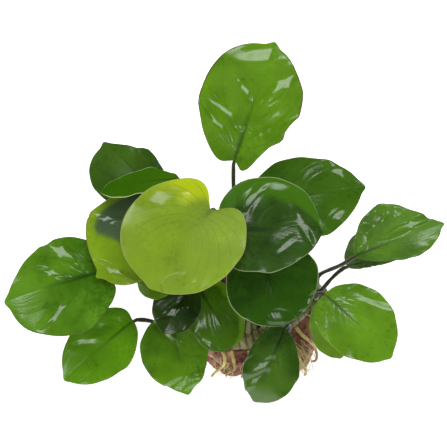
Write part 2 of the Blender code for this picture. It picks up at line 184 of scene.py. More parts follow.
LEAVES = (
    Leaf("back", (-10, 43, 92), heading=72, pitch=16, length=61.5, widths=(25.4, 23.6),
         lobes=(5, 12), belly=(0.48, 0.47), point=(2.3, 1.95), heel=(1.6, 1.05), notch=0.15,
         bend=16, fold=6, cup=-8, node=0.52, lean=62),
    Leaf("back_left_low", (-47, 39.5, 65), heading=130.5, pitch=0, length=40, widths=(21.4, 13),
         belly=(0.44, 0.54), point=(1.9, 1.1), heel=(1.9, 2.1), nib=0.036, bend=10, fold=4,
         node=0.01, lean=-15, tone="dark"),
    Leaf("back_left_high", (-35.2, 35.8, 88), heading=-177.5, pitch=-4, roll=42, length=37,
         widths=(16.8, 17.8), lobes=(4, 1), belly=(0.50, 0.38), point=(2.05, 2.2),
         heel=(2.1, 1.2), bend=12, fold=2, node=0.04, lean=35, tone="dark"),
    Leaf("crown", (-20.6, 8.2, 109), heading=-130, pitch=-6, length=43.5, widths=(24.7, 32.6),
         lobes=(11.5, 12), belly=(0.33, 0.44), point=(1.9, 2.2), heel=(2.0, 2.1), nib=0.022,
         bend=18, fold=-2, cup=-14, node=0.47, lean=35, early=(6, 10, 0), late=(-2, -6, 0),
         tone="fresh"),
    Leaf("crown_left", (-40.6, 19, 80), heading=-144, pitch=-8, length=41, widths=(18.2, 26.7),
         lobes=(6, 10), belly=(0.41, 0.63), point=(2.15, 1.7), heel=(2.1, 2.4), nib=0.06, bend=16,
         fold=2, node=0.10, lean=20, tone="fresh"),
    Leaf("far_left", (-74, -1, 63), heading=-167, pitch=-4, length=45, widths=(28, 22.8),
         lobes=(10, 9.3), belly=(0.29, 0.385), point=(2.0, 1.53), heel=(1.7, 1.9), nib=0.045,
         bend=18, node=0.07, lean=-45, early=(0, 8, 4)),
    Leaf("front_far_left", (-58, -15, 39), heading=-145, pitch=-14, length=43,
         widths=(16.6, 17.3), lobes=(0.5, 5), belly=(0.39, 0.44), point=(1.75, 1.8),
         heel=(1.7, 1.6), nib=0.037, bend=16, node=0.255, lean=-68),
    Leaf("front_left", (-41, -16.5, 49), heading=-72, pitch=-36, length=40.7,
         widths=(15.1, 17.9), lobes=(4, 1), belly=(0.445, 0.42), point=(1.5, 1.6), nib=0.037,
         bend=16, node=0.21, lean=-50, early=(-2, 1, 0)),
    Leaf("shaded", (-31, -10, 67), heading=-122, pitch=-20, length=24, widths=(11, 12),
         lobes=(2, 2), bend=10, node=0.165, lean=-30, reach=14, early=(-5, 0, 0), late=(-11, 3, 0),
         tone="dark"),
    Leaf("inner_left", (-27, -5, 57), heading=-54, pitch=-30, length=35.4, widths=(13.6, 14.2),
         point=(2.35, 2.05), nib=0.0, bend=20, node=0.25, lean=10, reach=12),
    Leaf("inner_right", (0.6, 0, 84), heading=-65, pitch=-28, length=37.7, widths=(23.4, 20.8),
         lobes=(5.7, 5.8), belly=(0.43, 0.475), point=(2.0, 1.55), heel=(1.75, 2.25), nib=0.023,
         bend=24, node=0.63, lean=-10, tone="dark"),
    Leaf("centre", (-8.5, 3.3, 98), heading=6.6, pitch=-4, length=39.6, widths=(27.9, 20.9),
         lobes=(9.8, 8.5), belly=(0.38, 0.30), point=(2.6, 1.5), heel=(2.1, 3.2), nib=0.02,
         bend=18, fold=-2, node=0.58, lean=30, late=(0, 5, 0), tone="dark"),
    Leaf("back_right", (3, 27, 76), heading=15.7, pitch=2, length=50.2, widths=(21.3, 22.5),
         lobes=(4.7, 5), belly=(0.385, 0.49), point=(1.88, 1.36), heel=(2.0, 2.1), nib=0.038,
         bend=16, node=0.68, lean=45, tone="dark"),
    Leaf("far_right", (46.5, 6.3, 66), heading=19.8, pitch=10, length=43.3, widths=(19.3, 12.7),
         lobes=(0, 1.9), belly=(0.46, 0.605), point=(1.3, 1.64), heel=(1.6, 1.4), nib=0.048,
         bend=10, fold=12, node=0.98, lean=25, late=(-3, -2, -1)),
    Leaf("far_right_low", (43.5, 5.8, 56), heading=13.5, pitch=-2, length=26, widths=(16, 2.8),
         lobes=(1.3, 2), belly=(0.43, 0.42), heel=(1.65, 2.2), bend=10, fold=8, node=0.92,
         lean=-15, tone="dark"),
    Leaf("front_right", (32, -11.5, 62), heading=-40.5, pitch=-8, length=42, widths=(18.8, 17),
         lobes=(1.6, 1), belly=(0.448, 0.446), point=(1.94, 1.78), heel=(1.6, 2.5), bend=18,
         node=0.78, lean=-10),
    Leaf("front_right_low", (33, -11, 50), heading=-70, pitch=-30, length=27, widths=(13, 11),
         bend=10, node=0.84, lean=-62, tone="dark"),
    Leaf("front", (14, -23.5, 50), heading=-120.5, pitch=-40, length=41.8, widths=(15.8, 11.3),
         lobes=(1, 1.4), belly=(0.44, 0.608), point=(1.9, 1.65), heel=(1.4, 2.4), bend=16,
         fold=4, node=0.68, lean=-55, tone="dark"),
    Leaf("small", (-41, -3, 73), heading=-140, pitch=-18, length=17, widths=(10, 9),
         lobes=(2, 2), nib=0.0, bend=10, node=0.125, lean=-40, early=(-5, 2, 0)),
)
print("leaves:", len(LEAVES), "from", min(l.length for l in LEAVES), "to",
      max(l.length for l in LEAVES), "mm long")

# %% [markdown]
# ## The form of a blade
# A real blade is a thin plate with a thick midrib, side veins that slant forwards, a rim that
# waves a little, and tissue that puffs up between the veins. The rim of each half is a
# superellipse around a point on the midrib, with a notch at the stalk and a small point at the
# tip. Lines spun from midrib to rim along the veins fill it in, and the flat plate is bent on
# two arcs. Veins, quilting and waves then come for free, because the grid already runs with them.
#
# The back leaf's rim has lobes that no superellipse has. Its strays say at which shares of the
# way from stalk to tip the rim stands off by how many millimetres, for its left and right half.

# %% The rim and the bent plate
NIB_ANGLE = 0.10
VEIN_BOW = 0.07
VEIN_CROWDING = 1.5
RIM_RIPPLE = 0.16
LEAST_TURN = 0.001
RIM_STRAYS = {
    ("back", 1): ((0.00, 0.30, 0.40, 0.50, 0.965, 1.0), (0.0, 0.0, 0.9, 0.3, 0.0, 0.9)),
    ("back", -1): (
        (0.00, 0.04, 0.08, 0.12, 0.20, 0.24, 0.28, 0.31, 0.35, 0.43, 0.51, 0.67, 0.75, 0.86,
         0.965, 1.0),
        (0.0, 3.4, 1.8, 0.5, 0.1, 0.9, 1.8, 1.8, 0.2, -0.2, -0.8, -0.8, -1.6, -2.0, -0.6, 0.9),
    ),
}


def blade_margin(leaf, side, t):
    """The rim of half a flat blade, in mm, for t from 0 at the stalk to 1 at the tip.

    A superellipse around a centre on the midrib, longer ahead than behind, less a notch at the
    stalk, plus a small point at the tip, plus slight waves and a blade's own lobes.
    """
    half = 0 if side > 0 else 1
    centre = leaf.belly[half] * leaf.length
    lobe = leaf.lobes[half]
    angle = math.pi * (1 - t)
    ahead = angle < math.pi / 2
    reach = np.where(ahead, leaf.length - centre, centre + lobe)
    power = np.where(ahead, leaf.point[half], leaf.heel[half])
    along = (np.abs(np.cos(angle)) / reach) ** power
    across = (np.abs(np.sin(angle)) / leaf.widths[half]) ** power
    radius = (along + across) ** (-1 / power)
    notch = lobe / (centre + lobe) * np.exp(-(((math.pi - angle) / leaf.notch) ** 2))
    nib = leaf.nib * leaf.length / reach * np.exp(-((angle / NIB_ANGLE) ** 2))
    radius = radius * (1 - notch) * (1 + nib)
    if (leaf.name, side) in RIM_STRAYS:
        radius = radius + np.interp(t, *RIM_STRAYS[leaf.name, side])
    waves = np.sin(19 * t + 40 * leaf.point[half]) + 0.7 * np.sin(33 * t + 70 * leaf.heel[half])
    radius = radius + RIM_RIPPLE * waves * np.sin(math.pi * t)
    return centre + radius * np.cos(angle), side * radius * np.sin(angle)


def arc(distance, start, turn, full):
    """How far ahead and up one gets along an arc that has turned by `turn` at its full length."""
    turn = turn if abs(turn) > LEAST_TURN else LEAST_TURN
    angle = start + turn * distance / full
    ahead = full * (np.sin(angle) - math.sin(start)) / turn
    up = full * (math.cos(start) - np.cos(angle)) / turn
    return ahead, up


def flat_blade(leaf, t, v):
    """Points of the flat blade: t runs from stalk to tip, v from rim over midrib to rim.

    Each half is spun between the midrib and its rim along lines that slant forwards and bow
    back, as the side veins do.
    """
    out = np.abs(v)
    left_x, left_y = blade_margin(leaf, 1, t)
    right_x, right_y = blade_margin(leaf, -1, t)
    rim_x, rim_y = np.where(v >= 0, left_x, right_x), np.where(v >= 0, left_y, right_y)
    rib_x = (1 + leaf.nib) * leaf.length * t**VEIN_CROWDING
    bow = VEIN_BOW * leaf.length * np.sin(math.pi * out) * np.sin(math.pi * t) ** 2
    return rib_x + (rim_x - rib_x) * out - bow, rim_y * out


def bent_blade(leaf, x, y, lift):
    """The flat points bent on two arcs, and raised by `lift` square to the plate."""
    start, turn = math.radians(leaf.fold), math.radians(leaf.cup)
    across, height = arc(np.abs(y), start, turn, max(leaf.widths))
    ahead, drop = arc(x, 0.0, math.radians(leaf.bend), leaf.length)
    tilt = math.radians(leaf.bend) * x / leaf.length
    height = height + lift
    return np.stack(
        [ahead + height * np.sin(tilt), np.sign(y) * across, height * np.cos(tilt) - drop], axis=-1
    )


def turn_matrix(leaf):
    """The blade's rotation: its columns are the tip, left and up directions."""
    angles = (math.radians(leaf.roll), -math.radians(leaf.pitch), math.radians(leaf.heading))
    return np.array(Euler(angles, "XYZ").to_matrix())


def blade_points(leaf, x, y, lift):
    """Points of the bent blade where it grows, in the plant's own frame, in mm."""
    return bent_blade(leaf, x, y, lift) @ turn_matrix(leaf).T + np.array(leaf.base, float)


# %% [markdown]
# ## What makes one blade differ from the next
# Each leaf on the real plant has its own tone, waves and veins. So each gets one line: the
# colour near the stalk and near the tip, and where it differs from the common leaf, how strongly
# the tissue puffs up between the veins, how much the rim waves, how many veins there are, how wet
# it looks, and what colour the rim's thin edge has.

# %% The leaves' looks
def linear(red, green, blue):
    """A colour from 0 to 255 as a screen shows it, as the light that it stands for."""
    level = np.array([red, green, blue]) / 255
    light = np.where(level <= 0.04045, level / 12.92, ((level + 0.055) / 1.055) ** 2.4)
    return (*light.tolist(), 1.0)


@dataclass
class Look:
    """The colour of a blade near its stalk and near its tip, and the unevenness of its surface.

    A skirt is an area of another colour: its side, 1 for left and -1 for right, where between
    midrib and rim it starts, where between stalk and tip it ends, and its colour. On the centre
    leaf the skirt is a painted lit area. A painted shadow end above 0 is where between stalk and
    tip a painted dark shade on the right half ends, where the leaves above lie over it.
    """

    near: tuple
    far: tuple
    rim: tuple = (84, 92, 34)
    quilt: float = 0.06
    wave: float = 0.7
    veins: int = 5
    rough: float = 0.15
    lines: float = 0.22
    shine: float = 0.5
    rim_from: float = 0.975
    skirt: tuple = ()
    rib_end: float = 0.80
    painted_shadow_end: float = 0.0


LOOKS = {
    "back": Look((74, 116, 12), (86, 128, 18), rim=(78, 66, 26), rim_from=0.955,
                 wave=1.1, veins=4),
    "back_left_low": Look((40, 74, 8), (58, 92, 18), wave=1.0, rough=0.30, shine=0.3),
    "back_left_high": Look((62, 104, 14), (50, 92, 8), rim=(190, 205, 140),
                           rim_from=0.94, shine=0.0),
    "crown": Look((118, 146, 38), (116, 144, 34), rim=(150, 150, 70), quilt=0.10, veins=8,
                  lines=0.40, skirt=(-1, 0.35, 0.34, (168, 186, 22)), rib_end=0.45, rough=0.22),
    # crown_left: its right half near the stalk gets a painted shadow of the leaves above
    "crown_left": Look((98, 130, 30), (112, 144, 26), rim=(125, 110, 55), painted_shadow_end=0.62),
    "far_left": Look((54, 98, 10), (84, 128, 26)),
    "front_far_left": Look((84, 134, 16), (88, 138, 18)),
    "front_left": Look((58, 98, 12), (84, 128, 16)),
    # painted shade: the shaded leaf's greens are nearly black for the shade it sits in under the
    # crown leaf
    "shaded": Look((20, 42, 8), (38, 62, 16), quilt=0.03, wave=0.2),
    "inner_left": Look((46, 78, 10), (62, 100, 14), wave=1.0, quilt=0.07,
                       skirt=(1, 0.7, 2.0, (92, 132, 14))),
    "inner_right": Look((28, 54, 10), (40, 76, 10), quilt=0.10, rim=(150, 165, 110)),
    # painted light: the centre leaf's skirt paints its upper area a paler, lit green above a darker
    # arc
    "centre": Look((32, 58, 10), (48, 78, 24), quilt=0.07, rim=(140, 158, 100),
                   skirt=(1, 0.62, 2.0, (62, 106, 16))),
    "back_right": Look((50, 92, 8), (60, 98, 16)),
    "far_right": Look((66, 100, 32), (80, 120, 32)),
    "far_right_low": Look((66, 92, 40), (92, 120, 60)),
    "front_right": Look((74, 116, 14), (94, 138, 28), rim=(120, 130, 50)),
    "front_right_low": Look((104, 138, 56), (104, 142, 36)),
    "front": Look((36, 66, 12), (66, 100, 26), rim=(130, 145, 90), wave=0.4),
    "small": Look((80, 116, 14), (84, 120, 16), wave=0.3),
}


# %% [markdown]
# ## The unevenness of a blade
# The tissue puffs up between the side veins, the rim waves, and slow dents lie anywhere. All of
# it is one number at each point of the plate: how far the plate's middle stands off the even
# sheet. Sculpting would look as real, but then each of the 19 blades would need its own work.

# %% Veins, waves and dents
FAN = 0.6
RIM_WAVES = 2.5
DENTS = 0.30
ANY_PHASE = 6.28


def vein_place(look, t, v):
    """How far a point lies between two side veins: whole numbers are veins.

    Seen from the rim the veins come evenly, and they leave the midrib twice as near the stalk.
    """
    fan = 1 - FAN * (1 - np.abs(v)) ** 1.2
    return look.veins * t / fan + np.where(v >= 0, 0.0, 0.45)


def blade_lift(leaf, look, t, v, seed):
    """How far the plate's middle stands off the even bent sheet, in mm, before the tissue tips.

    Tissue puffed up between veins, times a hump from midrib to rim, plus waves that grow towards
    the rim, plus slow dents.
    """
    out = np.abs(v)
    puffed = np.abs(np.sin(math.pi * vein_place(look, t, v))) ** 0.8 - 0.6
    ends = np.sin(math.pi * t) ** 0.6
    x, y = flat_blade(leaf, t, v)
    flat = np.stack([x, y, np.full_like(x, 5.0 * seed)], axis=-1)
    patchy = 0.6 + 0.6 * noise(flat, 9.0, seed + 90)
    quilting = look.quilt * puffed * patchy * np.sin(math.pi * out**0.8) ** 0.8 * ends
    start = np.random.default_rng(seed).uniform(0, ANY_PHASE, 4)
    phase = 2 * math.pi * RIM_WAVES * t
    left_wave = np.sin(phase + start[0]) + 0.5 * np.sin(2.3 * phase + start[1])
    right_wave = np.sin(1.1 * phase + start[2]) + 0.5 * np.sin(2.1 * phase + start[3])
    rim = look.wave * np.where(v >= 0, left_wave, right_wave) * out**3 * ends * 0.6
    dents = DENTS * noise(flat, 13.0, seed) + 0.05 * noise(flat, 4.5, seed + 50)
    return quilting + rim + dents * ends


# %% [markdown]
# ## Where the tissue tips
# Here and there the tissue tips by a few degrees, and that place mirrors a lamp while its
# surroundings don't. In the photograph these places are the bright patches. Each was picked there,
# in pixels: its two ends, its width, and the soft box that it mirrors. Such a patch becomes a swell
# with a dip beside it. A bent streak beside a vein becomes a fold, picked by its start, middle and
# end. Painting the patches on would be simpler, but painted ones stay bright from every side, and
# these come and go as on the real leaf.

# %% The camera, the soft boxes and the bright patches
# places in mm in the plant's frame, and the width of one pixel in mm at the point aimed at
AIM = np.array((-15.0, 26.6, 60.0))
ELEVATION = math.radians(63)
DISTANCE = 750.0
PICTURE_PIXELS = 447
PIXEL = 0.478
SCREEN_RIGHT = np.array((1.0, 0.0, 0.0))
SCREEN_UP = np.array((0.0, math.sin(ELEVATION), math.cos(ELEVATION)))
SIGHT = np.array((0.0, math.cos(ELEVATION), -math.sin(ELEVATION)))
CAMERA_PLACE = AIM - SIGHT * DISTANCE
# compass angle and elevation in degrees, size in metres, radiance
SOFT_BOXES = {
    "back": (8, 47, (0.27, 0.27), 6.2),
    "right": (62, 50, (0.27, 0.27), 6.2),
    "left": (-60, 33, (0.27, 0.27), 6.2),
    "front_left": (-118, 38, (0.26, 0.26), 6.2),
    "front_right": (118, 24, (0.26, 0.26), 5.8),
    "high_right": (127, 71, (0.36, 0.16), 7.0),
    "high_left": (-146, 60, (0.20, 0.12), 7.0),
    "front": (-172, 22, (0.26, 0.26), 5.8),
}
# the two ends in pixels from the picture's upper left corner, the width in pixels, the soft box
PATCHES = {
    "back": [((250, 57), (282, 54), 14, "back"), ((272, 96), (294, 74), 9, "back"),
        ((215, 100), (232, 118), 6, "back"), ((210, 113), (225, 134), 3, "back"),
        ((242, 83), (248, 97), 4, "back")],
    "crown": [((150, 197), (176, 196), 11, "left"), ((172, 285), (188, 282), 8, "left")],
    "crown_left": [((104, 266), (124, 276), 5, "left"), ((96, 218), (118, 221), 4, "left")],
    "far_left": [((48, 244), (75, 262), 8, "left"), ((42, 270), (62, 276), 3, "left"),
        ((48, 321), (66, 307), 6, "left")],
    "front_far_left": [((80, 344), (97, 339), 4, "front_left"),
        ((96, 326), (116, 316), 9, "front_left")],
    "front_left": [((168, 392), (200, 374), 8, "front"), ((158, 326), (175, 340), 4, "front")],
    "shaded": [((166, 315), (180, 309), 3, "front_left")],
    "inner_left": [((192, 336), (214, 344), 5, "front_right")],
    "inner_right": [((270, 316), (285, 316), 8, "front_right"),
        ((297, 316), (304, 314), 5, "front_right"), ((306, 304), (314, 296), 4, "front_right")],
    "centre": [((262, 186), (290, 188), 9, "right"), ((243, 210), (258, 192), 5, "right"),
        ((297, 213), (308, 236), 6, "right"), ((282, 250), (292, 240), 5, "right")],
    "back_right": [((331, 164), (344, 177), 7, "right"), ((332, 222), (342, 212), 7, "right")],
    "far_right": [((365, 222), (382, 214), 9, "right"), ((390, 210), (400, 213), 5, "right"),
        ((398, 231), (424, 219), 5, "right"), ((362, 246), (366, 234), 7, "right")],
    "front_right": [((353, 298), (388, 306), 7, "right"), ((314, 323), (319, 338), 4, "right")],
    "front": [((252, 372), (268, 362), 6, "front"), ((249, 386), (262, 375), 4, "front")],
}
# the same for a bent streak, by its start, middle and end
STREAKS = {
    "back": [((254, 126), (277, 115), (295, 94), 3.5, "high_right"),
        ((251, 129), (261, 134), (271, 129), 4, "high_left")],
    "back_right": [((303, 177), (318, 167), (334, 162), 5, "right")],
    "centre": [((244, 212), (250, 200), (258, 190), 4, "right")],
}
print("bright patches:", sum(map(len, PATCHES.values())), "streaks:",
      sum(map(len, STREAKS.values())))


# %% Swells and folds
def along_and_across(x, y, from_joint, left_of, turn):
    """Flat places seen from one of them, along and across a line turned from the midrib."""
    dx, dy = x - from_joint, y - left_of
    cosine, sine = math.cos(math.radians(turn)), math.sin(math.radians(turn))
    return dx * cosine + dy * sine, dy * cosine - dx * sine


def swell_lift(swell, x, y):
    """A swell with a dip beside it, in mm: slopes ahead and to the left, faded by an ellipse."""
    from_joint, left_of, long, wide, turn, ahead, left = swell
    along, across = along_and_across(x, y, from_joint, left_of, turn)
    far = (along / long) ** 2 + (across / wide) ** 2
    return (ahead * (x - from_joint) + left * (y - left_of)) * np.exp(-(far**2))


def fold_lift(fold, x, y):
    """A fold along a line that bends by `bend` per mm: it rises only across the line, in mm."""
    from_joint, left_of, long, wide, turn, bend, rise = fold
    along, across = along_and_across(x, y, from_joint, left_of, turn)
    across = across - bend * along**2
    return rise * across * np.exp(-((along / long) ** 4) - (across / wide) ** 4)


# %% [markdown]
# ## How steeply the tissue tips
# Where the tissue mirrors a lamp, its normal lies midway between the ways to the camera and to
# the lamp. So the slopes are worked out rather than tried out. Each blade is sampled on a grid,
# without its quilting. The sample under a picked pixel says where on the blade the patch lies,
# and its two steps, ahead and to the left, say which slopes turn its normal that way.

# %% Find a picked pixel on its blade
SAMPLES = 180


def unit(vectors):
    """Vectors at length 1."""
    return vectors / np.linalg.norm(vectors, axis=-1, keepdims=True)


def towards(azimuth, elevation):
    """The way at a compass angle, clockwise from the back, and an elevation, in degrees."""
    a, e = math.radians(azimuth), math.radians(elevation)
    return np.array((math.cos(e) * math.sin(a), math.cos(e) * math.cos(a), math.sin(e)))


def sampled_blade(leaf, look, seed, folds=()):
    """A blade without quilting: its flat places and its points, in mm, and its pixels."""
    shares = np.linspace(0.01, 0.99, SAMPLES), np.linspace(-0.97, 0.97, SAMPLES)
    t, v = np.meshgrid(*shares, indexing="ij")
    x, y = flat_blade(leaf, t, v)
    lift = blade_lift(leaf, replace(look, quilt=0.0), t, v, seed)
    points = blade_points(leaf, x, y, lift + sum(fold_lift(fold, x, y) for fold in folds))
    seen = points - CAMERA_PLACE
    scale = DISTANCE / PIXEL / (seen @ SIGHT)
    across, down = scale * (seen @ SCREEN_RIGHT), -scale * (seen @ SCREEN_UP)
    pixels = np.stack([across, down], axis=-1) + PICTURE_PIXELS / 2
    return np.stack([x, y], axis=-1), points, pixels


def mirror_slopes(sample, pixel, lamp):
    """Where a pixel falls on the flat blade, and the slopes there that make it mirror a lamp.

    With steps a ahead and b to the left on the blade, its normal n and the mirror's normal m, the
    slopes are -(m . a) / (m . n) and -(m . b) / (m . n).
    """
    flat, points, pixels = sample
    away = np.linalg.norm(pixels - pixel, axis=-1)
    spot = np.unravel_index(away.argmin(), away.shape)
    flat_steps, steps = (
        np.array([np.gradient(grid, axis=axis)[spot] for axis in (0, 1)]) for grid in (flat, points)
    )
    ahead, left = np.linalg.solve(flat_steps, steps)
    normal = unit(np.cross(ahead, left))
    mirror = unit(unit(CAMERA_PLACE - points[spot]) + towards(*SOFT_BOXES[lamp][:2]))
    slopes = [-(mirror @ step) / (mirror @ normal) for step in (ahead, left)]
    return np.array([*flat[spot], *slopes])


# %% [markdown]
# ## Tips that overlap
# A swell also tips the tissue under its neighbours. So the slopes of all swells of one blade are
# found together, as the least-squares answer of one set of linear equations, which says how much
# each slope of each swell tips the tissue at each place. A small weight holds the slopes down
# where two swells would fight, and a limit keeps any from looking like a crumpled leaf. Folds
# come first, because swells lie on them. Places are rounded to a tenth of a millimetre.

# %% Work out the folds and swells
SWELL_MARGIN, SWELL_LEAST_LONG, SWELL_LEAST_WIDE = 1.7, 1.6, 1.9
FOLD_LONG_MARGIN, FOLD_WIDE_MARGIN, FOLD_LEAST_WIDE = 1.35, 2.2, 2.6
SWELL_STEEPEST, FOLD_STEEPEST = 0.34, 0.36
HOLD_DOWN = 0.05
SHORT_STEP = 0.02


def degrees_of(way):
    """The angle of a flat direction from the midrib, to the left, in degrees."""
    return math.degrees(math.atan2(way[1], way[0]))


def folds_on(leaf, look, seed):
    """A blade's folds: place, half length, half width, turn, bend in 1/mm and rise."""
    if leaf.name not in STREAKS:
        return []
    sample = sampled_blade(leaf, look, seed)
    folds = []
    for *pixels, width, lamp in STREAKS[leaf.name]:
        spots = np.array([mirror_slopes(sample, pixel, lamp) for pixel in pixels])
        start, centre, end = spots[:, :2]
        along = unit(end - start)
        square = np.array((-along[1], along[0]))
        ends = np.array((start, end)) - centre
        bend = np.mean(ends @ square / (ends @ along) ** 2)
        rise = np.clip(np.mean(spots[:, 2:] @ square), -FOLD_STEEPEST, FOLD_STEEPEST)
        long = np.hypot(*(end - start)) / 2 * FOLD_LONG_MARGIN
        wide = max(width * PIXEL / 2 * FOLD_WIDE_MARGIN, FOLD_LEAST_WIDE)
        place = np.round((*centre, long, wide), 1)
        folds.append((*place, round(degrees_of(along)), round(bend, 4), round(rise, 3)))
    return folds


def slopes_at(swell, x, y):
    """How steeply a swell rises ahead and to the left at a flat place."""
    ahead = swell_lift(swell, x + SHORT_STEP, y) - swell_lift(swell, x - SHORT_STEP, y)
    left = swell_lift(swell, x, y + SHORT_STEP) - swell_lift(swell, x, y - SHORT_STEP)
    return ahead / (2 * SHORT_STEP), left / (2 * SHORT_STEP)


def swells_on(leaf, look, seed, folds):
    """A blade's swells: place, half length, half width, turn, and slopes ahead and left."""
    if leaf.name not in PATCHES:
        return []
    sample = sampled_blade(leaf, look, seed, folds)
    places, wanted = [], []
    for start, end, width, lamp in PATCHES[leaf.name]:
        x, y, *slopes = mirror_slopes(sample, np.add(start, end) / 2, lamp)
        way = mirror_slopes(sample, end, lamp)[:2] - mirror_slopes(sample, start, lamp)[:2]
        long = max(np.hypot(*way) / 2 * SWELL_MARGIN, SWELL_LEAST_LONG)
        wide = max(width * PIXEL / 2 * SWELL_MARGIN, SWELL_LEAST_WIDE)
        places.append((x, y, long, wide, degrees_of(way)))
        wanted.extend(slopes)
    tips = [[slopes_at((*place, *way), *spot[:2]) for place in places for way in np.eye(2)]
            for spot in places]
    tips = np.array(tips).transpose(0, 2, 1).reshape(len(wanted), -1)
    tips = np.vstack([tips, HOLD_DOWN * np.eye(len(wanted))])
    slopes = np.linalg.lstsq(tips, np.pad(wanted, (0, len(wanted))), rcond=None)[0].reshape(-1, 2)
    slopes = slopes * np.minimum(1, SWELL_STEEPEST / np.hypot(*slopes.T))[:, None]
    return [(*np.round(place[:4], 1), round(place[4]), *np.round(slope, 3))
            for place, slope in zip(places, slopes)]


def tipped_lift(leaf, look, x, y, seed):
    """How far the folds and swells of a blade raise its flat places, in mm."""
    folds = folds_on(leaf, look, seed)
    swells = swells_on(leaf, look, seed, folds)
    return sum([swell_lift(row, x, y) for row in swells] + [fold_lift(row, x, y) for row in folds])


# %% [markdown]
# ## Blades as thin closed plates
# A blade could be one sheet thickened by a modifier, but then it is as thick at the rim as at
# the midrib. Here the upper and the lower face are worked out apart. They share the rim, the
# plate swells towards the midrib, the midrib is a groove above and a rib below, and each side
# vein is a fine crease with tissue puffed up on both sides of it.

# %% Build the blades
BLADE_ROWS = 121
BLADE_COLUMNS = 91
ROWS_GATHERED = 0.07
COLUMNS_GATHERED = 0.11
BLADE_HALF_THICKNESS = 0.26
RIM_ROUNDING = 14
MIDRIB_WIDTH = 1.6
MIDRIB_GROOVE = 0.14
MIDRIB_RIB = 0.70
CREASE_WIDTH = 0.10
CREASE_ABOVE = 0.02
CREASE_BELOW = 0.10


def gathered(even, share):
    """Even numbers moved so that they lie closer together round every whole number."""
    return even - share * np.sin(2 * math.pi * even)


def blade_sheets(leaf, look, seed):
    """The upper and the lower face of a blade, as grids in the plant's own frame, in mm."""
    rows = gathered(np.linspace(0, 1, BLADE_ROWS), ROWS_GATHERED)
    columns = gathered(2 * np.linspace(0, 1, BLADE_COLUMNS) - 1, COLUMNS_GATHERED)
    t, v = np.meshgrid(rows, columns, indexing="ij")
    x, y = flat_blade(leaf, t, v)
    lift = blade_lift(leaf, look, t, v, seed) + tipped_lift(leaf, look, x, y, seed)
    out = np.abs(v)
    ends = np.sin(math.pi * t) ** 0.35
    body = BLADE_HALF_THICKNESS * (1 + 0.5 * (1 - out) ** 2)
    closing = np.sqrt(np.clip(1 - out**RIM_ROUNDING, 0, 1)) * ends
    near_rib = np.exp(-((y / (MIDRIB_WIDTH * (1.25 - t))) ** 2)) * (1.1 - t) * ends
    crease = np.abs((vein_place(look, t, v) + 0.5) % 1 - 0.5)
    crease = np.exp(-((crease / CREASE_WIDTH) ** 2)) * np.sin(math.pi * out) ** 0.5 * ends
    above = body * closing - MIDRIB_GROOVE * near_rib - CREASE_ABOVE * crease
    below = body * closing + MIDRIB_RIB * near_rib + CREASE_BELOW * crease
    upper = blade_points(leaf, x, y, lift + above)
    lower = blade_points(leaf, x, y, lift - below)
    shut = (out >= 1 - 1e-9) | (t <= 0) | (t >= 1)
    upper[shut] = lower[shut] = blade_points(leaf, x, y, lift)[shut]
    uv = np.stack([t, (v + 1) / 2], axis=-1)
    return [(upper, uv), (lower[:, ::-1], uv[:, ::-1])]


blades = {}
for number, leaf in enumerate(LEAVES, start=1):
    sheets = blade_sheets(leaf, LOOKS[leaf.name], seed=number)
    node = f"leaf_{leaf.name}"
    blades[leaf.name] = put_surface(f"blade_{leaf.name}", sheets, [node])
print("blades:", len(blades), "faces each:", len(blades["back"].data.polygons))

# %% [markdown]
# ## Routes through space
# Stalks, roots and the creeping stem are all round in section. Each is a route and a radius at
# each of its points. The routes are those of the solids: smooth curves through given points for
# the creeping stem and the roots, and for each stalk one cubic curve that leaves the creeping
# stem square to it and comes into its blade from behind.

# %% The routes
RHIZOME_ROUTE = (
    (-24.0, 2.0, 28.5), (-21.0, -10.0, 28.5), (-12.0, -20.0, 29.0), (0.0, -20.5, 30.5),
    (12.0, -15.0, 32.0), (23.0, -6.0, 33.5), (33.0, 3.0, 32.5),
)
RHIZOME_RADIUS = 4.5
STONE_CENTRE = np.array((2.0, -1.0, 12.0))
STONE_HALF_SIZE = np.array((30.0, 28.0, 17.5))
STONE_BOXINESS = 3.2
STONE_LUMPS = (
    (0.0225, (5.0, 4.0, 0.0), 1.7),
    (0.0225, (5.0, -4.0, 0.0), 0.9),
    (0.035, (3.0, 0.0, 7.0), 0.0),
    (0.025, (-5.0, 9.0, 2.0), 1.57),
)
GAP = 0.3
RHIZOME_STEPS = 200
JOINT_BELOW, JOINT_BEHIND = 1.1, 1.2


def smooth_route(points, steps):
    """Points along a smooth curve through the given ones (Catmull-Rom), evenly by index."""
    points = np.asarray(points, float)
    padded = np.vstack([2 * points[0] - points[1], points, 2 * points[-1] - points[-2]])
    spans = len(points) - 1
    along = np.linspace(0.0, spans, steps)
    span = np.minimum(along.astype(int), spans - 1)
    f = (along - span)[:, None]
    a, b, c, d = (padded[span + k] for k in range(4))
    linear_part = (c - a) * f
    square = (2 * a - 5 * b + 4 * c - d) * f**2
    cube = (3 * b - 3 * c + d - a) * f**3
    return 0.5 * (2 * b + linear_part + square + cube)


def rhizome_place(node, lean):
    """A point of the creeping stem's middle line and a unit vector square to it."""
    route = smooth_route(RHIZOME_ROUTE, RHIZOME_STEPS + 1)
    index = round(node * RHIZOME_STEPS)
    way = unit(route[min(index + 1, RHIZOME_STEPS)] - route[max(index - 1, 0)])
    side = unit(np.cross((0.0, 0.0, 1.0), way))
    angle = math.radians(lean)
    return route[index], math.cos(angle) * np.cross(way, side) + math.sin(angle) * side


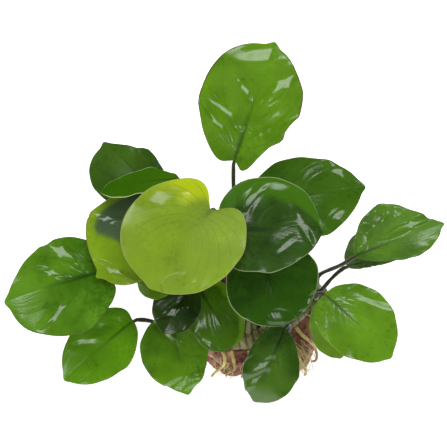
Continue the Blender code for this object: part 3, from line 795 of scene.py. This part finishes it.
def stalk_ends(leaf):
    """The four control points of a stalk's cubic curve, in mm."""
    middle, out = rhizome_place(leaf.node, leaf.lean)
    turned = turn_matrix(leaf)
    ahead, up = turned[:, 0], turned[:, 2]
    start = middle + out * (RHIZOME_RADIUS + GAP)
    end = np.array(leaf.base, float) - up * JOINT_BELOW - ahead * JOINT_BEHIND
    span = np.linalg.norm(end - start)
    arrival = unit(0.45 * ahead + 0.15 * up + 0.55 * (end - start) / span)
    low = start + out * min(leaf.rise, 0.40 * span) + np.array(leaf.early)
    high = end - arrival * min(leaf.reach, 0.36 * span) + np.array(leaf.late)
    return start, low, high, end


def stone_radius(direction):
    """How far the stone's main form reaches from its centre, for unit directions in rows."""
    box = (np.abs(direction / STONE_HALF_SIZE) ** STONE_BOXINESS).sum(axis=-1)
    lumps = sum(height * np.sin(direction @ np.array(rates) + start)
                for height, rates, start in STONE_LUMPS)
    return box ** (-1 / STONE_BOXINESS) * (1 + lumps)


def outwards(azimuth, slope):
    """Unit vectors at an angle round from the right and an angle up from level, in radians."""
    level = np.cos(slope)
    return np.stack([np.cos(azimuth) * level, np.sin(azimuth) * level, np.sin(slope)], axis=-1)


def stone_surface(azimuth, slope, stand_off):
    """Points off the stone's main form, in mm, at the angles of `outwards` but in degrees."""
    way = outwards(np.radians(azimuth), np.radians(slope))
    return STONE_CENTRE + way * (stone_radius(way) + stand_off)[..., None]


# %% [markdown]
# ## Carrying a round section along a route
# A ring of points is carried along the route. The ring's first spoke is always square to one
# fixed direction, chosen square to the route as a whole, so the surface doesn't twist. Both ends
# shrink to a point over a short rounded cap, which closes the surface.

# %% A tube from a route
NEARLY_STRAIGHT = 1e-3
ANY_OTHER_WAY = (0.3, 0.9, 0.2)


def tube_sheet(route, radii, around=16, rough=None, caps=3):
    """A closed tube: point = route + radius * (cos * first spoke + sin * second spoke), in mm.

    `rough` may add to the radius at each (row, column). The caps are quarter circles.
    """
    route = np.asarray(route, float)
    way = unit(np.gradient(route, axis=0))
    span = route[-1] - route[0]
    bow = np.cross(span, way[len(way) // 4])
    if np.linalg.norm(bow) < NEARLY_STRAIGHT * np.linalg.norm(span):
        bow = np.cross(span, ANY_OTHER_WAY)
    spoke = unit(np.cross(way, unit(bow)))
    other = np.cross(spoke, way)
    angle = np.linspace(0, 2 * math.pi, around + 1)
    radii = np.broadcast_to(np.asarray(radii, float), len(route))[:, None] * np.ones(around + 1)
    if rough is not None:
        bumps = rough(np.linspace(0, 1, len(route))[:, None], angle[None, :-1])
        radii = radii + np.concatenate([bumps, bumps[:, :1]], axis=1)
    turn = np.linspace(math.pi / 2, 0, caps + 1)[:-1]
    first = np.cos(turn)[:, None] * radii[0]
    last = (np.cos(turn)[:, None] * radii[-1])[::-1]
    back = np.sin(turn)[:, None] * radii[0].mean()
    ahead = (np.sin(turn)[:, None] * radii[-1].mean())[::-1]
    middle = np.vstack([route[0] - back * way[0], route, route[-1] + ahead * way[-1]])
    radii = np.vstack([first, radii, last])
    spoke = np.vstack([spoke[[0] * caps], spoke, spoke[[-1] * caps]])
    other = np.vstack([other[[0] * caps], other, other[[-1] * caps]])
    ring = np.cos(angle)[:, None] * spoke[:, None] + np.sin(angle)[:, None] * other[:, None]
    points = middle[:, None] + radii[..., None] * ring
    points[:, -1] = points[:, 0]
    along = np.linspace(0, 1, len(points))
    uv = np.stack(np.meshgrid(along, angle / (2 * math.pi), indexing="ij"), axis=-1)
    return points, uv


# %% [markdown]
# ## Stalks
# A stalk is thickest where it sits on the creeping stem, in a short sheath, and goes on under
# the blade as its midrib. So the tube swells at the foot and, a little, at the knee under the
# blade, and runs on along the blade's underside, thinning out, instead of ending at it.

# %% Build the stalks
STALK_ROWS = 60
STALK_RADIUS_LOW = 1.05
STALK_RADIUS_HIGH = 0.82
SHEATH, SHEATH_LONG = 0.55, 0.06
KNEE, KNEE_PLACE, KNEE_LONG = 0.18, 0.72, 0.05
THINS_OVER, THINNEST = 0.22, 0.22
RUN_UNDER_BLADE = 0.16


def stalk_route(leaf):
    """The cubic curve of the stalk, run on through the joint and along under the midrib, in mm."""
    start, low, high, end = stalk_ends(leaf)
    s = np.linspace(0.0, 1.0, STALK_ROWS)[:, None]
    curve = (1 - s) ** 3 * start + 3 * (1 - s) ** 2 * s * low
    curve = curve + 3 * (1 - s) * s**2 * high + s**3 * end
    x = np.linspace(0.04, RUN_UNDER_BLADE, 5) * leaf.length
    under = blade_points(leaf, x, np.full(5, 1e-6), np.linspace(-0.75, -0.35, 5))
    corner = np.vstack([curve[-4], curve[-1], under])
    return np.vstack([curve[:-4], smooth_route(corner, 22)])


def stalk_bumps(number):
    """Faint lengthwise ribs and slow swellings of a stalk's skin."""
    start = np.random.default_rng(200 + number).uniform(0, ANY_PHASE, 3)
    return lambda along, angle: (
        0.03 * np.cos(5 * angle + start[0]) + 0.05 * np.sin(17 * along + start[1])
        + 0.04 * np.sin(31 * along + 2 * angle + start[2])
    )


stalks = {}
for number, leaf in enumerate(LEAVES):
    route = stalk_route(leaf)
    share = np.linspace(0, 1, len(route))
    radii = STALK_RADIUS_LOW + (STALK_RADIUS_HIGH - STALK_RADIUS_LOW) * share
    radii = radii + SHEATH * np.exp(-share / SHEATH_LONG)
    radii = radii + KNEE * np.exp(-(((share - KNEE_PLACE) / KNEE_LONG) ** 2))
    radii = radii * np.clip((1 - share) / THINS_OVER, THINNEST, 1) ** 0.8
    sheet = tube_sheet(route, radii, around=16, rough=stalk_bumps(number))
    stalks[leaf.name] = put_surface(f"stalk_{leaf.name}", [sheet], [f"stem_{leaf.name}"])
print("stalks:", len(stalks))

# %% [markdown]
# ## The creeping stem
# The creeping stem is a little thicker than a pencil and ringed by the scars of leaves that have
# dropped. Its old end is broken off bluntly, and its growing end tapers to a bud. The rings are
# narrow ridges at uneven distances, each leaning a little, with the skin slightly pinched between
# them.

# %% Build the creeping stem
RHIZOME_ROWS = 260
RING_COUNT = 24
RHIZOME_SINK = 0.12


def rhizome_bumps(along, angle):
    """Ridges where leaves have dropped, plus pits and swellings of the skin, in mm."""
    place = RING_COUNT * (along + 0.010 * np.sin(angle + 3 * along)) + 0.35 * np.sin(23 * along)
    ridge = np.exp(-((((place + 0.5) % 1 - 0.5) / 0.14) ** 2))
    ring = np.stack(np.broadcast_arrays(along * 80, 5 * np.cos(angle), 5 * np.sin(angle)), axis=-1)
    skin = 0.22 * noise(ring, 3.5, 301) + 0.10 * noise(ring, 1.4, 302)
    fade = np.clip(along / 0.02, 0, 1) * np.clip((1 - along) / 0.03, 0, 1)
    return (0.30 * ridge - RHIZOME_SINK + skin) * fade


route = smooth_route(RHIZOME_ROUTE, RHIZOME_ROWS)
share = np.linspace(0, 1, RHIZOME_ROWS)
radii = RHIZOME_RADIUS * (1 - 0.45 * np.exp(-share / 0.02) - 0.35 * np.exp(-(1 - share) / 0.03))
sheet = tube_sheet(route, radii - RHIZOME_SINK, around=56, rough=rhizome_bumps, caps=10)
rhizome = put_surface("rhizome_ringed", [sheet], ["rhizome"])
print("creeping stem:", len(rhizome.data.polygons), "faces")

# %% [markdown]
# ## The stone
# Lava stone is a lump full of burst bubbles. Its main form is a boxy rounded lump, cut flat where
# it rests. The dressed stone repeats that form on a fine grid around its centre, then adds
# knobs, grain and round pits, and sinks a groove where the creeping stem lies in it. Pushing
# points along the rays from the centre keeps the surface from folding over itself.

# %% Build the stone
STONE_ROWS = 221
STONE_COLUMNS = 361
STONE_SINK = 0.3
GROOVE_RADIUS = RHIZOME_RADIUS + 0.45
ANYWHERE = 1e9


def stone_bumps(points):
    """Knobs, grain and pits of the broken stone, in mm, at points in rows."""
    knobs = 1.05 * noise(points, 8.0, 401) + 0.60 * noise(points, 3.8, 402)
    grain = 0.26 * noise(points, 1.9, 403) + 0.14 * noise(points, 0.9, 404)
    large = np.clip(1 - cells(points, 6.5, 405) / 0.30, 0, 1) ** 0.6
    small = np.clip(1 - cells(points, 2.6, 406) / 0.34, 0, 1) ** 0.6
    return knobs + grain - 2.0 * large - 0.75 * small - 0.2


def under_rhizome(points):
    """How low the stone may reach under the creeping stem, for points in rows, in mm."""
    line = smooth_route(RHIZOME_ROUTE, 121)
    away = np.full(len(points), ANYWHERE)
    height = np.zeros(len(points))
    for spot in line:
        flat = np.hypot(points[:, 0] - spot[0], points[:, 1] - spot[1])
        nearer = flat < away
        away = np.where(nearer, flat, away)
        height = np.where(nearer, spot[2], height)
    sunk = height - np.sqrt(np.clip(GROOVE_RADIUS**2 - away**2, 0, None))
    return np.where(away < GROOVE_RADIUS, sunk, ANYWHERE)


slope, azimuth = np.meshgrid(
    np.linspace(-math.pi / 2, math.pi / 2, STONE_ROWS),
    np.linspace(0, 2 * math.pi, STONE_COLUMNS),
    indexing="ij",
)
way = outwards(azimuth, slope)
way[:, -1] = way[:, 0]
reach = stone_radius(way)
skin = (STONE_CENTRE + way * reach[..., None]).reshape(-1, 3)
reach = reach + stone_bumps(skin).reshape(reach.shape) - STONE_SINK
downwards = -way[..., 2]
to_floor = np.where(downwards > 1e-6, STONE_CENTRE[2] / np.maximum(downwards, 1e-6), ANYWHERE)
skin = STONE_CENTRE + way * np.minimum(reach, to_floor)[..., None]
low = under_rhizome(skin.reshape(-1, 3)).reshape(reach.shape)
skin[..., 2] = np.maximum(np.minimum(skin[..., 2], low), 0.0)
skin[:, -1] = skin[:, 0]
uv = np.stack([slope / math.pi + 0.5, azimuth / (2 * math.pi)], axis=-1)
stone = put_surface("stone_rough", [(skin[:, ::-1], uv[:, ::-1])], ["stone"])
top = round(float(skin[..., 2].max()), 1)
print("stone:", len(stone.data.polygons), "faces, top at", top, "mm")

# %% [markdown]
# ## Thick roots
# Roots leave the creeping stem's underside and clasp the stone on their way down. They wander a
# little, because each grew round the grain it met, and thin out towards the foot.

# %% Build the thick roots
# name, place on the creeping stem, lean, then top and foot as angles round the stone and up,
# and how far the foot stands off the stone in mm
ROOTS = (
    ("front_left", 0.30, -125, -121, -128, 22, -18, 2.0),
    ("front_left_short", 0.36, -130, -112, -116, 20, -8, 0.0),
    ("front", 0.45, -130, -97, -104, 22, -19, 0.0),
    ("front_middle", 0.52, -135, -85, -80, 24, -12, 0.0),
    ("front_right", 0.66, -125, -58, -47, 30, -17, 2.5),
    ("front_right_low", 0.74, -130, -38, -34, 30, -18, 1.0),
    ("right", 0.86, -140, -13, -20, 22, -17, 0.0),
    ("back_right", 0.86, 120, 14, 34, 33, -14, 0.0),
    ("left", 0.14, -130, 193, 200, 14, -20, 0.0),
    ("back_left", 0.04, -130, 170, 158, 14, -16, 0.0),
)
ROOT_RADIUS_HIGH = 0.95
ROOT_RADIUS_LOW = 0.6
ROOT_ROWS = 60
ROOT_STRAY = 0.28
ABOVE_FLOOR = 0.4


def root_route(node, lean, top, foot, slope_top, slope_foot, stand_off):
    """A root's middle line: off the creeping stem, then down over the stone, in mm."""
    middle, out = rhizome_place(node, lean)
    start = middle + out * (RHIZOME_RADIUS + GAP + ROOT_RADIUS_HIGH)
    lengthwise = np.linspace(0.0, 1.0, 5)
    azimuth = top + (foot - top) * lengthwise + 2.0 * np.sin(5.0 * lengthwise)
    slope = slope_top + (slope_foot - slope_top) * lengthwise
    off = ROOT_RADIUS_HIGH + 2 * GAP + stand_off * lengthwise**2
    return smooth_route(np.vstack([start, stone_surface(azimuth, slope, off)]), 8)


roots = []
for number, (name, *facts) in enumerate(ROOTS):
    route = smooth_route(root_route(*facts), ROOT_ROWS)
    share = np.linspace(0, 1, ROOT_ROWS)
    strays = np.stack([noise(route, 3.0, 500 + 10 * number + k) for k in range(3)], axis=-1)
    route = route + ROOT_STRAY * strays * np.sin(math.pi * share)[:, None]
    radii = ROOT_RADIUS_HIGH + (ROOT_RADIUS_LOW - ROOT_RADIUS_HIGH) * share
    radii = radii + 0.06 * noise(route, 1.5, 520 + number) - 0.03
    route[:, 2] = np.maximum(route[:, 2], radii + ABOVE_FLOOR)
    sheet = tube_sheet(route, radii, around=12)
    roots.append(put_surface(f"thick_root_{name}", [sheet], [f"root_{name}"]))
print("thick roots:", len(roots))

# %% [markdown]
# ## Hair-thin roots
# Young roots branch into tufts of threads about 0.3 mm thick, pale and tangled over the edge of
# the stone, most of them at the front. They are too fine for solids. Each thread is the same few
# dozen faces carried along its own short route down the stone, and a whole tuft is one mesh.

# %% Build the hair-thin roots
THREAD_ROWS = 9
THREAD_SIDES = 5
THREAD_STAND = 2.2
# name, threads, angles round the stone, highest and lowest angle up, radius in mm, seed, length
TUFTS = (
    ("front_left", 16, (-130, -114), (14, -24), 0.17, 601, 30),
    ("front_right", 22, (-62, -42), (24, -26), 0.16, 602, 40),
    ("front", 10, (-108, -70), (16, -12), 0.13, 603, 22),
    ("back", 18, (130, 220), (14, -20), 0.15, 604, 26),
    ("right", 14, (-30, 40), (22, -18), 0.15, 605, 28),
)


def thread_tuft(name, count, azimuths, slopes, radius, seed, reach):
    """A tuft of fine roots over the stone's edge, each up to `reach` degrees of slope long."""
    random = np.random.default_rng(seed)
    sheets = []
    for _ in range(count):
        top = random.uniform(*azimuths)
        high = slopes[0] + random.uniform(-5, 5)
        drop = min(random.uniform(0.5, 1.0) * reach, high - slopes[1])
        along = np.linspace(0, 1, 5)
        azimuth = top + random.uniform(-9, 9) * along + random.uniform(-3, 3) * np.sin(5 * along)
        off = 0.7 + random.uniform(0.0, THREAD_STAND) * np.sin(2.2 * along) + random.uniform(0, 0.6)
        route = smooth_route(stone_surface(azimuth, high - drop * along, off), THREAD_ROWS)
        route[:, 2] = np.maximum(route[:, 2], 2.5 * radius)
        thin = radius * random.uniform(0.7, 1.2) * np.linspace(1, 0.55, THREAD_ROWS)
        sheets.append(tube_sheet(route, thin, around=THREAD_SIDES, caps=1))
    return put_surface(name, sheets, weld=0.0005)


threads = [thread_tuft(f"hair_roots_{name}", *facts) for name, *facts in TUFTS]
print("hair root faces:", sum(len(tuft.data.polygons) for tuft in threads))

# %% [markdown]
# ## Sums on sockets
# A finish is worked out by nodes. Written as Python sums they stay readable: `1 - mask * 0.5`
# adds the same nodes as wiring them by hand. Colours don't go through such sums, because a Math
# node turns a colour grey. They are blended by Mix nodes.

# %% A socket with operators
class Wire:
    """One output socket of a material. Sums on it add Math nodes."""

    def __init__(self, tree, socket):
        self.tree, self.socket = tree, socket

    def make(self, kind, settings, inputs, output=0):
        """Any other node: its type, its settings, then the values or links of its sockets."""
        node = self.tree.nodes.new(kind)
        for key, value in settings.items():
            setattr(node, key, value)
        for key, value in inputs.items():
            if isinstance(value, Wire):
                self.tree.links.new(value.socket, node.inputs[key])
            else:
                node.inputs[key].default_value = value
        return Wire(self.tree, node.outputs[output])

    def math(self, operation, *values):
        return self.make("ShaderNodeMath", {"operation": operation}, dict(enumerate(values)))

    def step(self, low, high):
        """0 below `low`, 1 above `high`, smooth between."""
        settings = {"interpolation_type": "SMOOTHSTEP"}
        return self.make("ShaderNodeMapRange", settings, {0: self, 1: low, 2: high, 3: 0.0, 4: 1.0})

    def grain(self, scale, detail=3.0, roughness=0.5):
        """Noise at this position: bumps about 1 / scale metres apart."""
        inputs = {"Vector": self, "Scale": scale, "Detail": detail, "Roughness": roughness}
        return self.make("ShaderNodeTexNoise", {}, inputs)

    def blend(self, first, second):
        """The first colour where this is 0 and the second where it is 1."""
        settings = {"data_type": "RGBA", "clamp_factor": True}
        return self.make("ShaderNodeMix", settings, {0: self, 6: first, 7: second}, output=2)

    def part(self, index):
        return self.make("ShaderNodeSeparateXYZ", {}, {0: self}, output=index)


def add_operator(word, operation):
    """Let `wire + 1` and `1 + wire`, or another of Python's operators, add a Math node."""
    setattr(Wire, f"__{word}__", lambda wire, other: wire.math(operation, wire, other))
    setattr(Wire, f"__r{word}__", lambda wire, other: wire.math(operation, other, wire))


for word, operation in (("add", "ADD"), ("sub", "SUBTRACT"), ("mul", "MULTIPLY"),
                        ("truediv", "DIVIDE"), ("pow", "POWER")):
    add_operator(word, operation)


def start_finish(name):
    """A new material: its shader, the position in the plant's frame, and the UV map."""
    material = bpy.data.materials.new(name)
    material.use_nodes = True
    tree = material.node_tree
    shader = tree.nodes["Principled BSDF"]
    coordinates = tree.nodes.new("ShaderNodeTexCoord")
    place = Wire(tree, coordinates.outputs["Object"])
    return material, shader, place, Wire(tree, coordinates.outputs["UV"])


def feed(shader, socket, wire):
    """Link a worked-out colour or number to one of the shader's sockets."""
    wire.tree.links.new(wire.socket, shader.inputs[socket])


def raise_skin(shader, height, distance, strength):
    """Feed a height to the shader's Normal through a Bump node, with its distance in metres."""
    inputs = {"Height": height, "Distance": distance, "Strength": strength}
    feed(shader, "Normal", height.make("ShaderNodeBump", {}, inputs))


# %% [markdown]
# ## The skin of a wet leaf
# A leaf of this plant is leathery, dark to fresh green and wet. Its tone changes from stalk to
# tip and in soft clouds. The midrib and the side veins show as thin darker lines, with finer
# veins between them, and the rim has a thin pale or brownish edge. A film of water makes it
# glossy, and fine grains under the film break the bright patches into specks.

# %% Finish the blades
FILM_GRAIN = 0.7
FULL_TURN = 6.283


def brighter(colour, share):
    """A colour with all its light times a share."""
    return (*(min(level * share, 1.0) for level in colour[:3]), 1.0)


def leaf_tissue(look, clouds, mottle, t, v):
    """The tissue's green: from stalk to tip, in pale and deep clouds, and the skirt if any, which
    on the centre leaf is a painted lit area.
    """
    near, far = linear(*look.near), linear(*look.far)
    tone = (t + (clouds - 0.5) * 0.9).step(0.15, 0.85).blend(near, far)
    pale = ((clouds - 0.5) * 1.2 + (mottle - 0.5) * 2.4).step(-0.3, 0.8)
    tone = pale.blend(tone, brighter(far, 1.30))
    deep = ((0.5 - clouds) * 1.1 + (mottle - 0.5) * 2.2).step(-0.05, 0.9)
    tone = deep.blend(tone, brighter(near, 0.52))
    # A skirt: another colour along one side; on the centre leaf it is a painted lit area.
    if look.skirt:
        side, start, end, colour = look.skirt
        outer = (v * side + (clouds - 0.5) * 0.5).step(start - 0.12, start + 0.12)
        outer = outer * (1 - (t + (clouds - 0.5) * 0.3).step(end - 0.1, end + 0.1))
        tone = outer.blend(tone, linear(*colour))
    return tone


def leaf_veins(look, tone, clouds, t, v, out):
    """The tissue's tone with side veins, finer veins between them, and painted shade near the
    joint.
    """
    near = linear(*look.near)
    right = v.math("LESS_THAN", v, 0.0)
    place_between = t * look.veins / (1 - FAN * (1 - out) ** 1.2) + right * 0.45
    vein = v.math("ABSOLUTE", v.math("FRACT", place_between + 0.5) - 0.5)
    inner = (1 - out.step(0.70, 0.98)) * (1 - t.step(0.45, 0.95))
    line = (1 - vein.step(0.0, 0.09)) * inner
    tone = (line * look.lines).blend(tone, brighter(near, 0.50))
    fine = v.math("SINE", (place_between * 4.0 + clouds * 1.5) * FULL_TURN).step(0.3, 1.0)
    tone = (fine * inner * look.lines * 0.5).blend(tone, brighter(near, 0.55))
    # Painted shade: the tissue by the midrib near the joint is darkened, where shade falls deep in
    # the plant.
    base = (1 - t.step(0.0, 0.26)) * (1 - out.step(0.15, 0.85))
    return (base * 0.45).blend(tone, brighter(near, 0.40))


def leaf_finish(leaf, look):
    """The finish of one blade, along and across its own UV map."""
    material, shader, place, uv = start_finish(f"leaf_skin_{leaf.name}")
    t = uv.part(0)
    v = uv.part(1) * 2 - 1
    out = v.math("ABSOLUTE", v)
    clouds, mottle = place.grain(70.0), place.grain(480.0, 4.0, 0.65)
    tone = leaf_veins(look, leaf_tissue(look, clouds, mottle, t, v), clouds, t, v, out)
    width = (1.15 - t) * 0.12
    rib = (1 - (out / width).step(0.1, 1.0)) * (1 - t.step(look.rib_end - 0.6, look.rib_end))
    tone = (rib * 0.80).blend(tone, brighter(linear(*look.near), 0.28))
    # Painted shadow: the right half is darkened grey-green from the stalk to a soft edge, where the
    # leaves above lie over it.
    if look.painted_shadow_end:
        shadowed = (t + clouds * 0.10 + out * 0.08).step(look.painted_shadow_end + 0.08, look.painted_shadow_end + 0.14)
        shadowed = (1 - shadowed) * (1 - v.step(-0.10, 0.05)) * (1 - out.step(0.80, 0.92))
        tone = (shadowed * 0.85).blend(tone, linear(58, 76, 62))
    edge = out.step(look.rim_from, 0.992)
    tone = (edge * (0.45 + mottle * 0.6)).blend(tone, linear(*look.rim))
    feed(shader, "Base Color", tone)
    gloss = look.rough + (mottle - 0.5) * 0.08 + (clouds - 0.5) * 0.06 + edge * 0.1 + rib * 0.12
    feed(shader, "Roughness", gloss)
    raise_skin(shader, place.grain(1150.0, 2.0), 0.00005, FILM_GRAIN)
    shader.inputs["Specular IOR Level"].default_value = look.shine
    return material


for leaf in LEAVES:
    blades[leaf.name].data.materials.append(leaf_finish(leaf, LOOKS[leaf.name]))
print("leaf finishes:", len(LEAVES))

# %% [markdown]
# ## The skin of stalks, creeping stem and roots
# Stalks are dark brown-green, paler in the sheath at the foot, with fine lengthwise lines. The
# creeping stem is olive with brown rings and papery remains of old sheaths. Roots are straw
# yellow and go brown and green where algae sit on them.

# %% Finish the stalks
def stalk_finish(name, top):
    """Dark green-brown with lengthwise lines, paler in the sheath, another tone at the top."""
    material, shader, place, uv = start_finish(name)
    along, around = uv.part(0), uv.part(1)
    clouds = place.grain(160.0, 4.0)
    lines = place.math("SINE", around * 56.5 + clouds * 4)
    tone = clouds.step(0.35, 0.65).blend(linear(32, 34, 18), linear(58, 60, 34))
    tone = ((1 - along.step(0.03, 0.16)) * 0.75).blend(tone, linear(150, 156, 96))
    tone = (along.step(0.60, 0.85) * 0.8).blend(tone, top)
    tone = (lines.step(0.4, 1.0) * 0.30).blend(tone, linear(24, 30, 14))
    feed(shader, "Base Color", tone)
    feed(shader, "Roughness", 0.30 + clouds * 0.22)
    raise_skin(shader, clouds + lines * 0.2, 0.00012, 0.7)
    return material


stalk_skins = {
    "fresh": stalk_finish("stalk_skin_fresh", linear(112, 132, 44)),
    "mid": stalk_finish("stalk_skin_mid", linear(52, 46, 26)),
    "dark": stalk_finish("stalk_skin_dark", linear(44, 50, 22)),
}
for leaf in LEAVES:
    stalks[leaf.name].data.materials.append(stalk_skins[leaf.tone])


# %% Finish the creeping stem and the roots
def rhizome_finish():
    """Olive to beige, brown on the rings and in blotches."""
    material, shader, place, uv = start_finish("rhizome_skin")
    along, around = uv.part(0), uv.part(1)
    clouds, mottle = place.grain(120.0, 4.0), place.grain(600.0, 4.0, 0.65)
    rings = along * RING_COUNT + around * 0.2 + clouds * 0.4
    rings = rings.math("SINE", rings * FULL_TURN)
    tone = clouds.step(0.35, 0.65).blend(linear(88, 90, 44), linear(140, 132, 80))
    tone = (rings.step(0.1, 1.0) * 0.75).blend(tone, linear(66, 48, 28))
    tone = (mottle.step(0.50, 0.68) * 0.5).blend(tone, linear(70, 72, 34))
    tone = (along.step(0.90, 0.99) * 0.7).blend(tone, linear(120, 146, 62))
    feed(shader, "Base Color", tone)
    feed(shader, "Roughness", 0.42 + mottle * 0.3)
    raise_skin(shader, mottle + rings * 0.1, 0.00025, 0.8)
    return material


def root_finish(name, light, dark):
    """Straw yellow, browner in blotches and towards the foot."""
    material, shader, place, uv = start_finish(name)
    clouds, mottle = place.grain(150.0), place.grain(900.0, 4.0, 0.6)
    tone = (clouds + (uv.part(0) - 0.5) * 0.2).step(0.35, 0.68).blend(light, dark)
    tone = (mottle.step(0.52, 0.70) * 0.45).blend(tone, linear(92, 84, 44))
    feed(shader, "Base Color", tone)
    feed(shader, "Roughness", 0.45 + mottle * 0.3)
    raise_skin(shader, mottle, 0.00015, 0.7)
    return material


rhizome.data.materials.append(rhizome_finish())
thick_skin = root_finish("thick_root_skin", linear(204, 186, 110), linear(132, 112, 60))
for root in roots:
    root.data.materials.append(thick_skin)
thread_skin = root_finish("hair_root_skin", linear(214, 198, 124), linear(150, 132, 74))
for tuft in threads:
    tuft.data.materials.append(thread_skin)


# %% [markdown]
# ## The skin of the stone
# Lava is red-brown from rusted iron, with pinkish beige faces where it broke last, and nearly
# black in blotches. The colours are blended by noise at three sizes, so no blotch repeats.

# %% Finish the stone
def stone_finish():
    """Red-brown, beige and dark by noise, matt and gritty."""
    material, shader, place, _ = start_finish("lava_skin")
    broad, clouds = place.grain(55.0), place.grain(190.0, 5.0, 0.6)
    grit = place.grain(1400.0, 4.0, 0.7)
    tone = clouds.step(0.35, 0.65).blend(linear(112, 66, 50), linear(158, 108, 86))
    tone = (broad + (clouds - 0.5) * 0.4).step(0.52, 0.66).blend(tone, linear(204, 170, 148))
    deep = ((0.5 - clouds) * 1.6 + (grit - 0.5) * 0.5).step(0.05, 0.35)
    tone = deep.blend(tone, linear(64, 36, 30))
    tone = (grit.step(0.55, 0.70) * 0.5).blend(tone, linear(90, 56, 46))
    feed(shader, "Base Color", tone)
    feed(shader, "Roughness", 0.72 + grit * 0.25)
    raise_skin(shader, clouds * 0.6 + grit, 0.0004, 0.9)
    return material


stone.data.materials.append(stone_finish())
print("materials:", len(bpy.data.materials))

# %% [markdown]
# ## The studio
# The plant stands on a plain white ground under soft light. The ground gives off a little light
# of its own, so that it stays white around the plant and its shadow stays faint, as on a lit
# table. Two large lamps that no surface mirrors give the even light. Eight small soft boxes stand
# where hardly any blade mirrors them as it lies, so the bright patches come only where the
# tissue tips.

# %% The ground
GROUND_WIDE, GROUND_DEEP, GROUND_FRONT, GROUND_RISE = 3000, 3600, -1600, 700
FLAT_SHARE = 0.7
BELOW_PLANT = 0.3


def put_ground():
    """A wide ground under the stone and a curved rise behind it, as one sheet, in mm."""
    across = np.linspace(-GROUND_WIDE, GROUND_WIDE, 9)
    s, x = np.meshgrid(np.linspace(0, 1, 40), across, indexing="ij")
    turn = np.clip((s - FLAT_SHARE) / (1 - FLAT_SHARE), 0, 1) * math.pi / 2
    y = np.clip(s / FLAT_SHARE, 0, 1) * GROUND_DEEP + GROUND_FRONT + GROUND_RISE * np.sin(turn)
    z = GROUND_RISE * (1 - np.cos(turn)) - BELOW_PLANT
    points = np.stack([x, y, z], axis=-1).reshape(-1, 3) * MM
    mesh = bpy.data.meshes.new("ground")
    mesh.from_pydata(points.tolist(), [], grid_faces(*s.shape)[:, ::-1].tolist())
    mesh.shade_smooth()
    material, shader, _, _ = start_finish("white_ground")
    shader.inputs["Base Color"].default_value = (0.86, 0.85, 0.88, 1.0)
    shader.inputs["Roughness"].default_value = 0.55
    shader.inputs["Emission Color"].default_value = (1.0, 0.99, 1.0, 1.0)
    shader.inputs["Emission Strength"].default_value = 0.78
    mesh.materials.append(material)
    ground = put_object("ground", mesh)


put_ground()


# %% The lamps
LAMPS_AIM = Vector((-0.015, 0.026, 0.06))
FILL_AWAY = 1.6
SOFT_BOX_AWAY = 1.4


def put_lamp(name, azimuth, elevation, size, radiance, away=SOFT_BOX_AWAY, in_gloss=True):
    """A rectangular light that faces the plant, by compass angle and elevation in degrees.

    An area light of power P and area A shines with P / (pi A), so P follows from the radiance.
    """
    way = Vector(towards(azimuth, elevation))
    lamp = bpy.data.lights.new(name, "AREA")
    lamp.shape = "RECTANGLE"
    lamp.size, lamp.size_y = size
    lamp.energy = radiance * math.pi * size[0] * size[1]
    holder = put_object(name, lamp)
    holder.visible_glossy = in_gloss
    holder.location = LAMPS_AIM + way * away
    holder.rotation_euler = (-way).to_track_quat("-Z", "Y").to_euler()


put_lamp("ceiling", 20, 80, (1.1, 1.1), 4.7, FILL_AWAY, in_gloss=False)
put_lamp("front_fill", 190, 32, (1.6, 0.8), 2.8, FILL_AWAY, in_gloss=False)
for name, facts in SOFT_BOXES.items():
    put_lamp(f"soft_box_{name}", *facts)
world = bpy.data.worlds.new("studio")
world.use_nodes = True
sky = world.node_tree.nodes["Background"]
sky.inputs["Color"].default_value = (0.95, 0.97, 1.0, 1.0)
sky.inputs["Strength"].default_value = 0.04
bpy.context.scene.world = world
bpy.context.scene.view_settings.view_transform = "Standard"

# %% [markdown]
# ## The camera
# The picture is taken from above at 63 degrees, with a long lens, so the leaves hardly shrink
# towards the back. Its place was named where the patches were found. One pixel of the picture is
# 0.478 mm at the point it aims at, 60 mm above the ground.

# %% Put up the camera
SENSOR_WIDE = 36.0
camera = put_object("camera", bpy.data.cameras.new("camera"))
camera.data.sensor_width = SENSOR_WIDE
camera.data.lens = SENSOR_WIDE * DISTANCE / (PICTURE_PIXELS * PIXEL)
camera.data.clip_start, camera.data.clip_end = 0.01, 20.0
camera.location = CAMERA_PLACE * MM
camera.rotation_euler = (math.pi / 2 - ELEVATION, 0.0, 0.0)
bpy.context.scene.camera = camera
print("lens:", round(camera.data.lens, 1), "mm")

# %% [markdown]
# ## Finish

# %% Finish
bpy.context.view_layer.update()
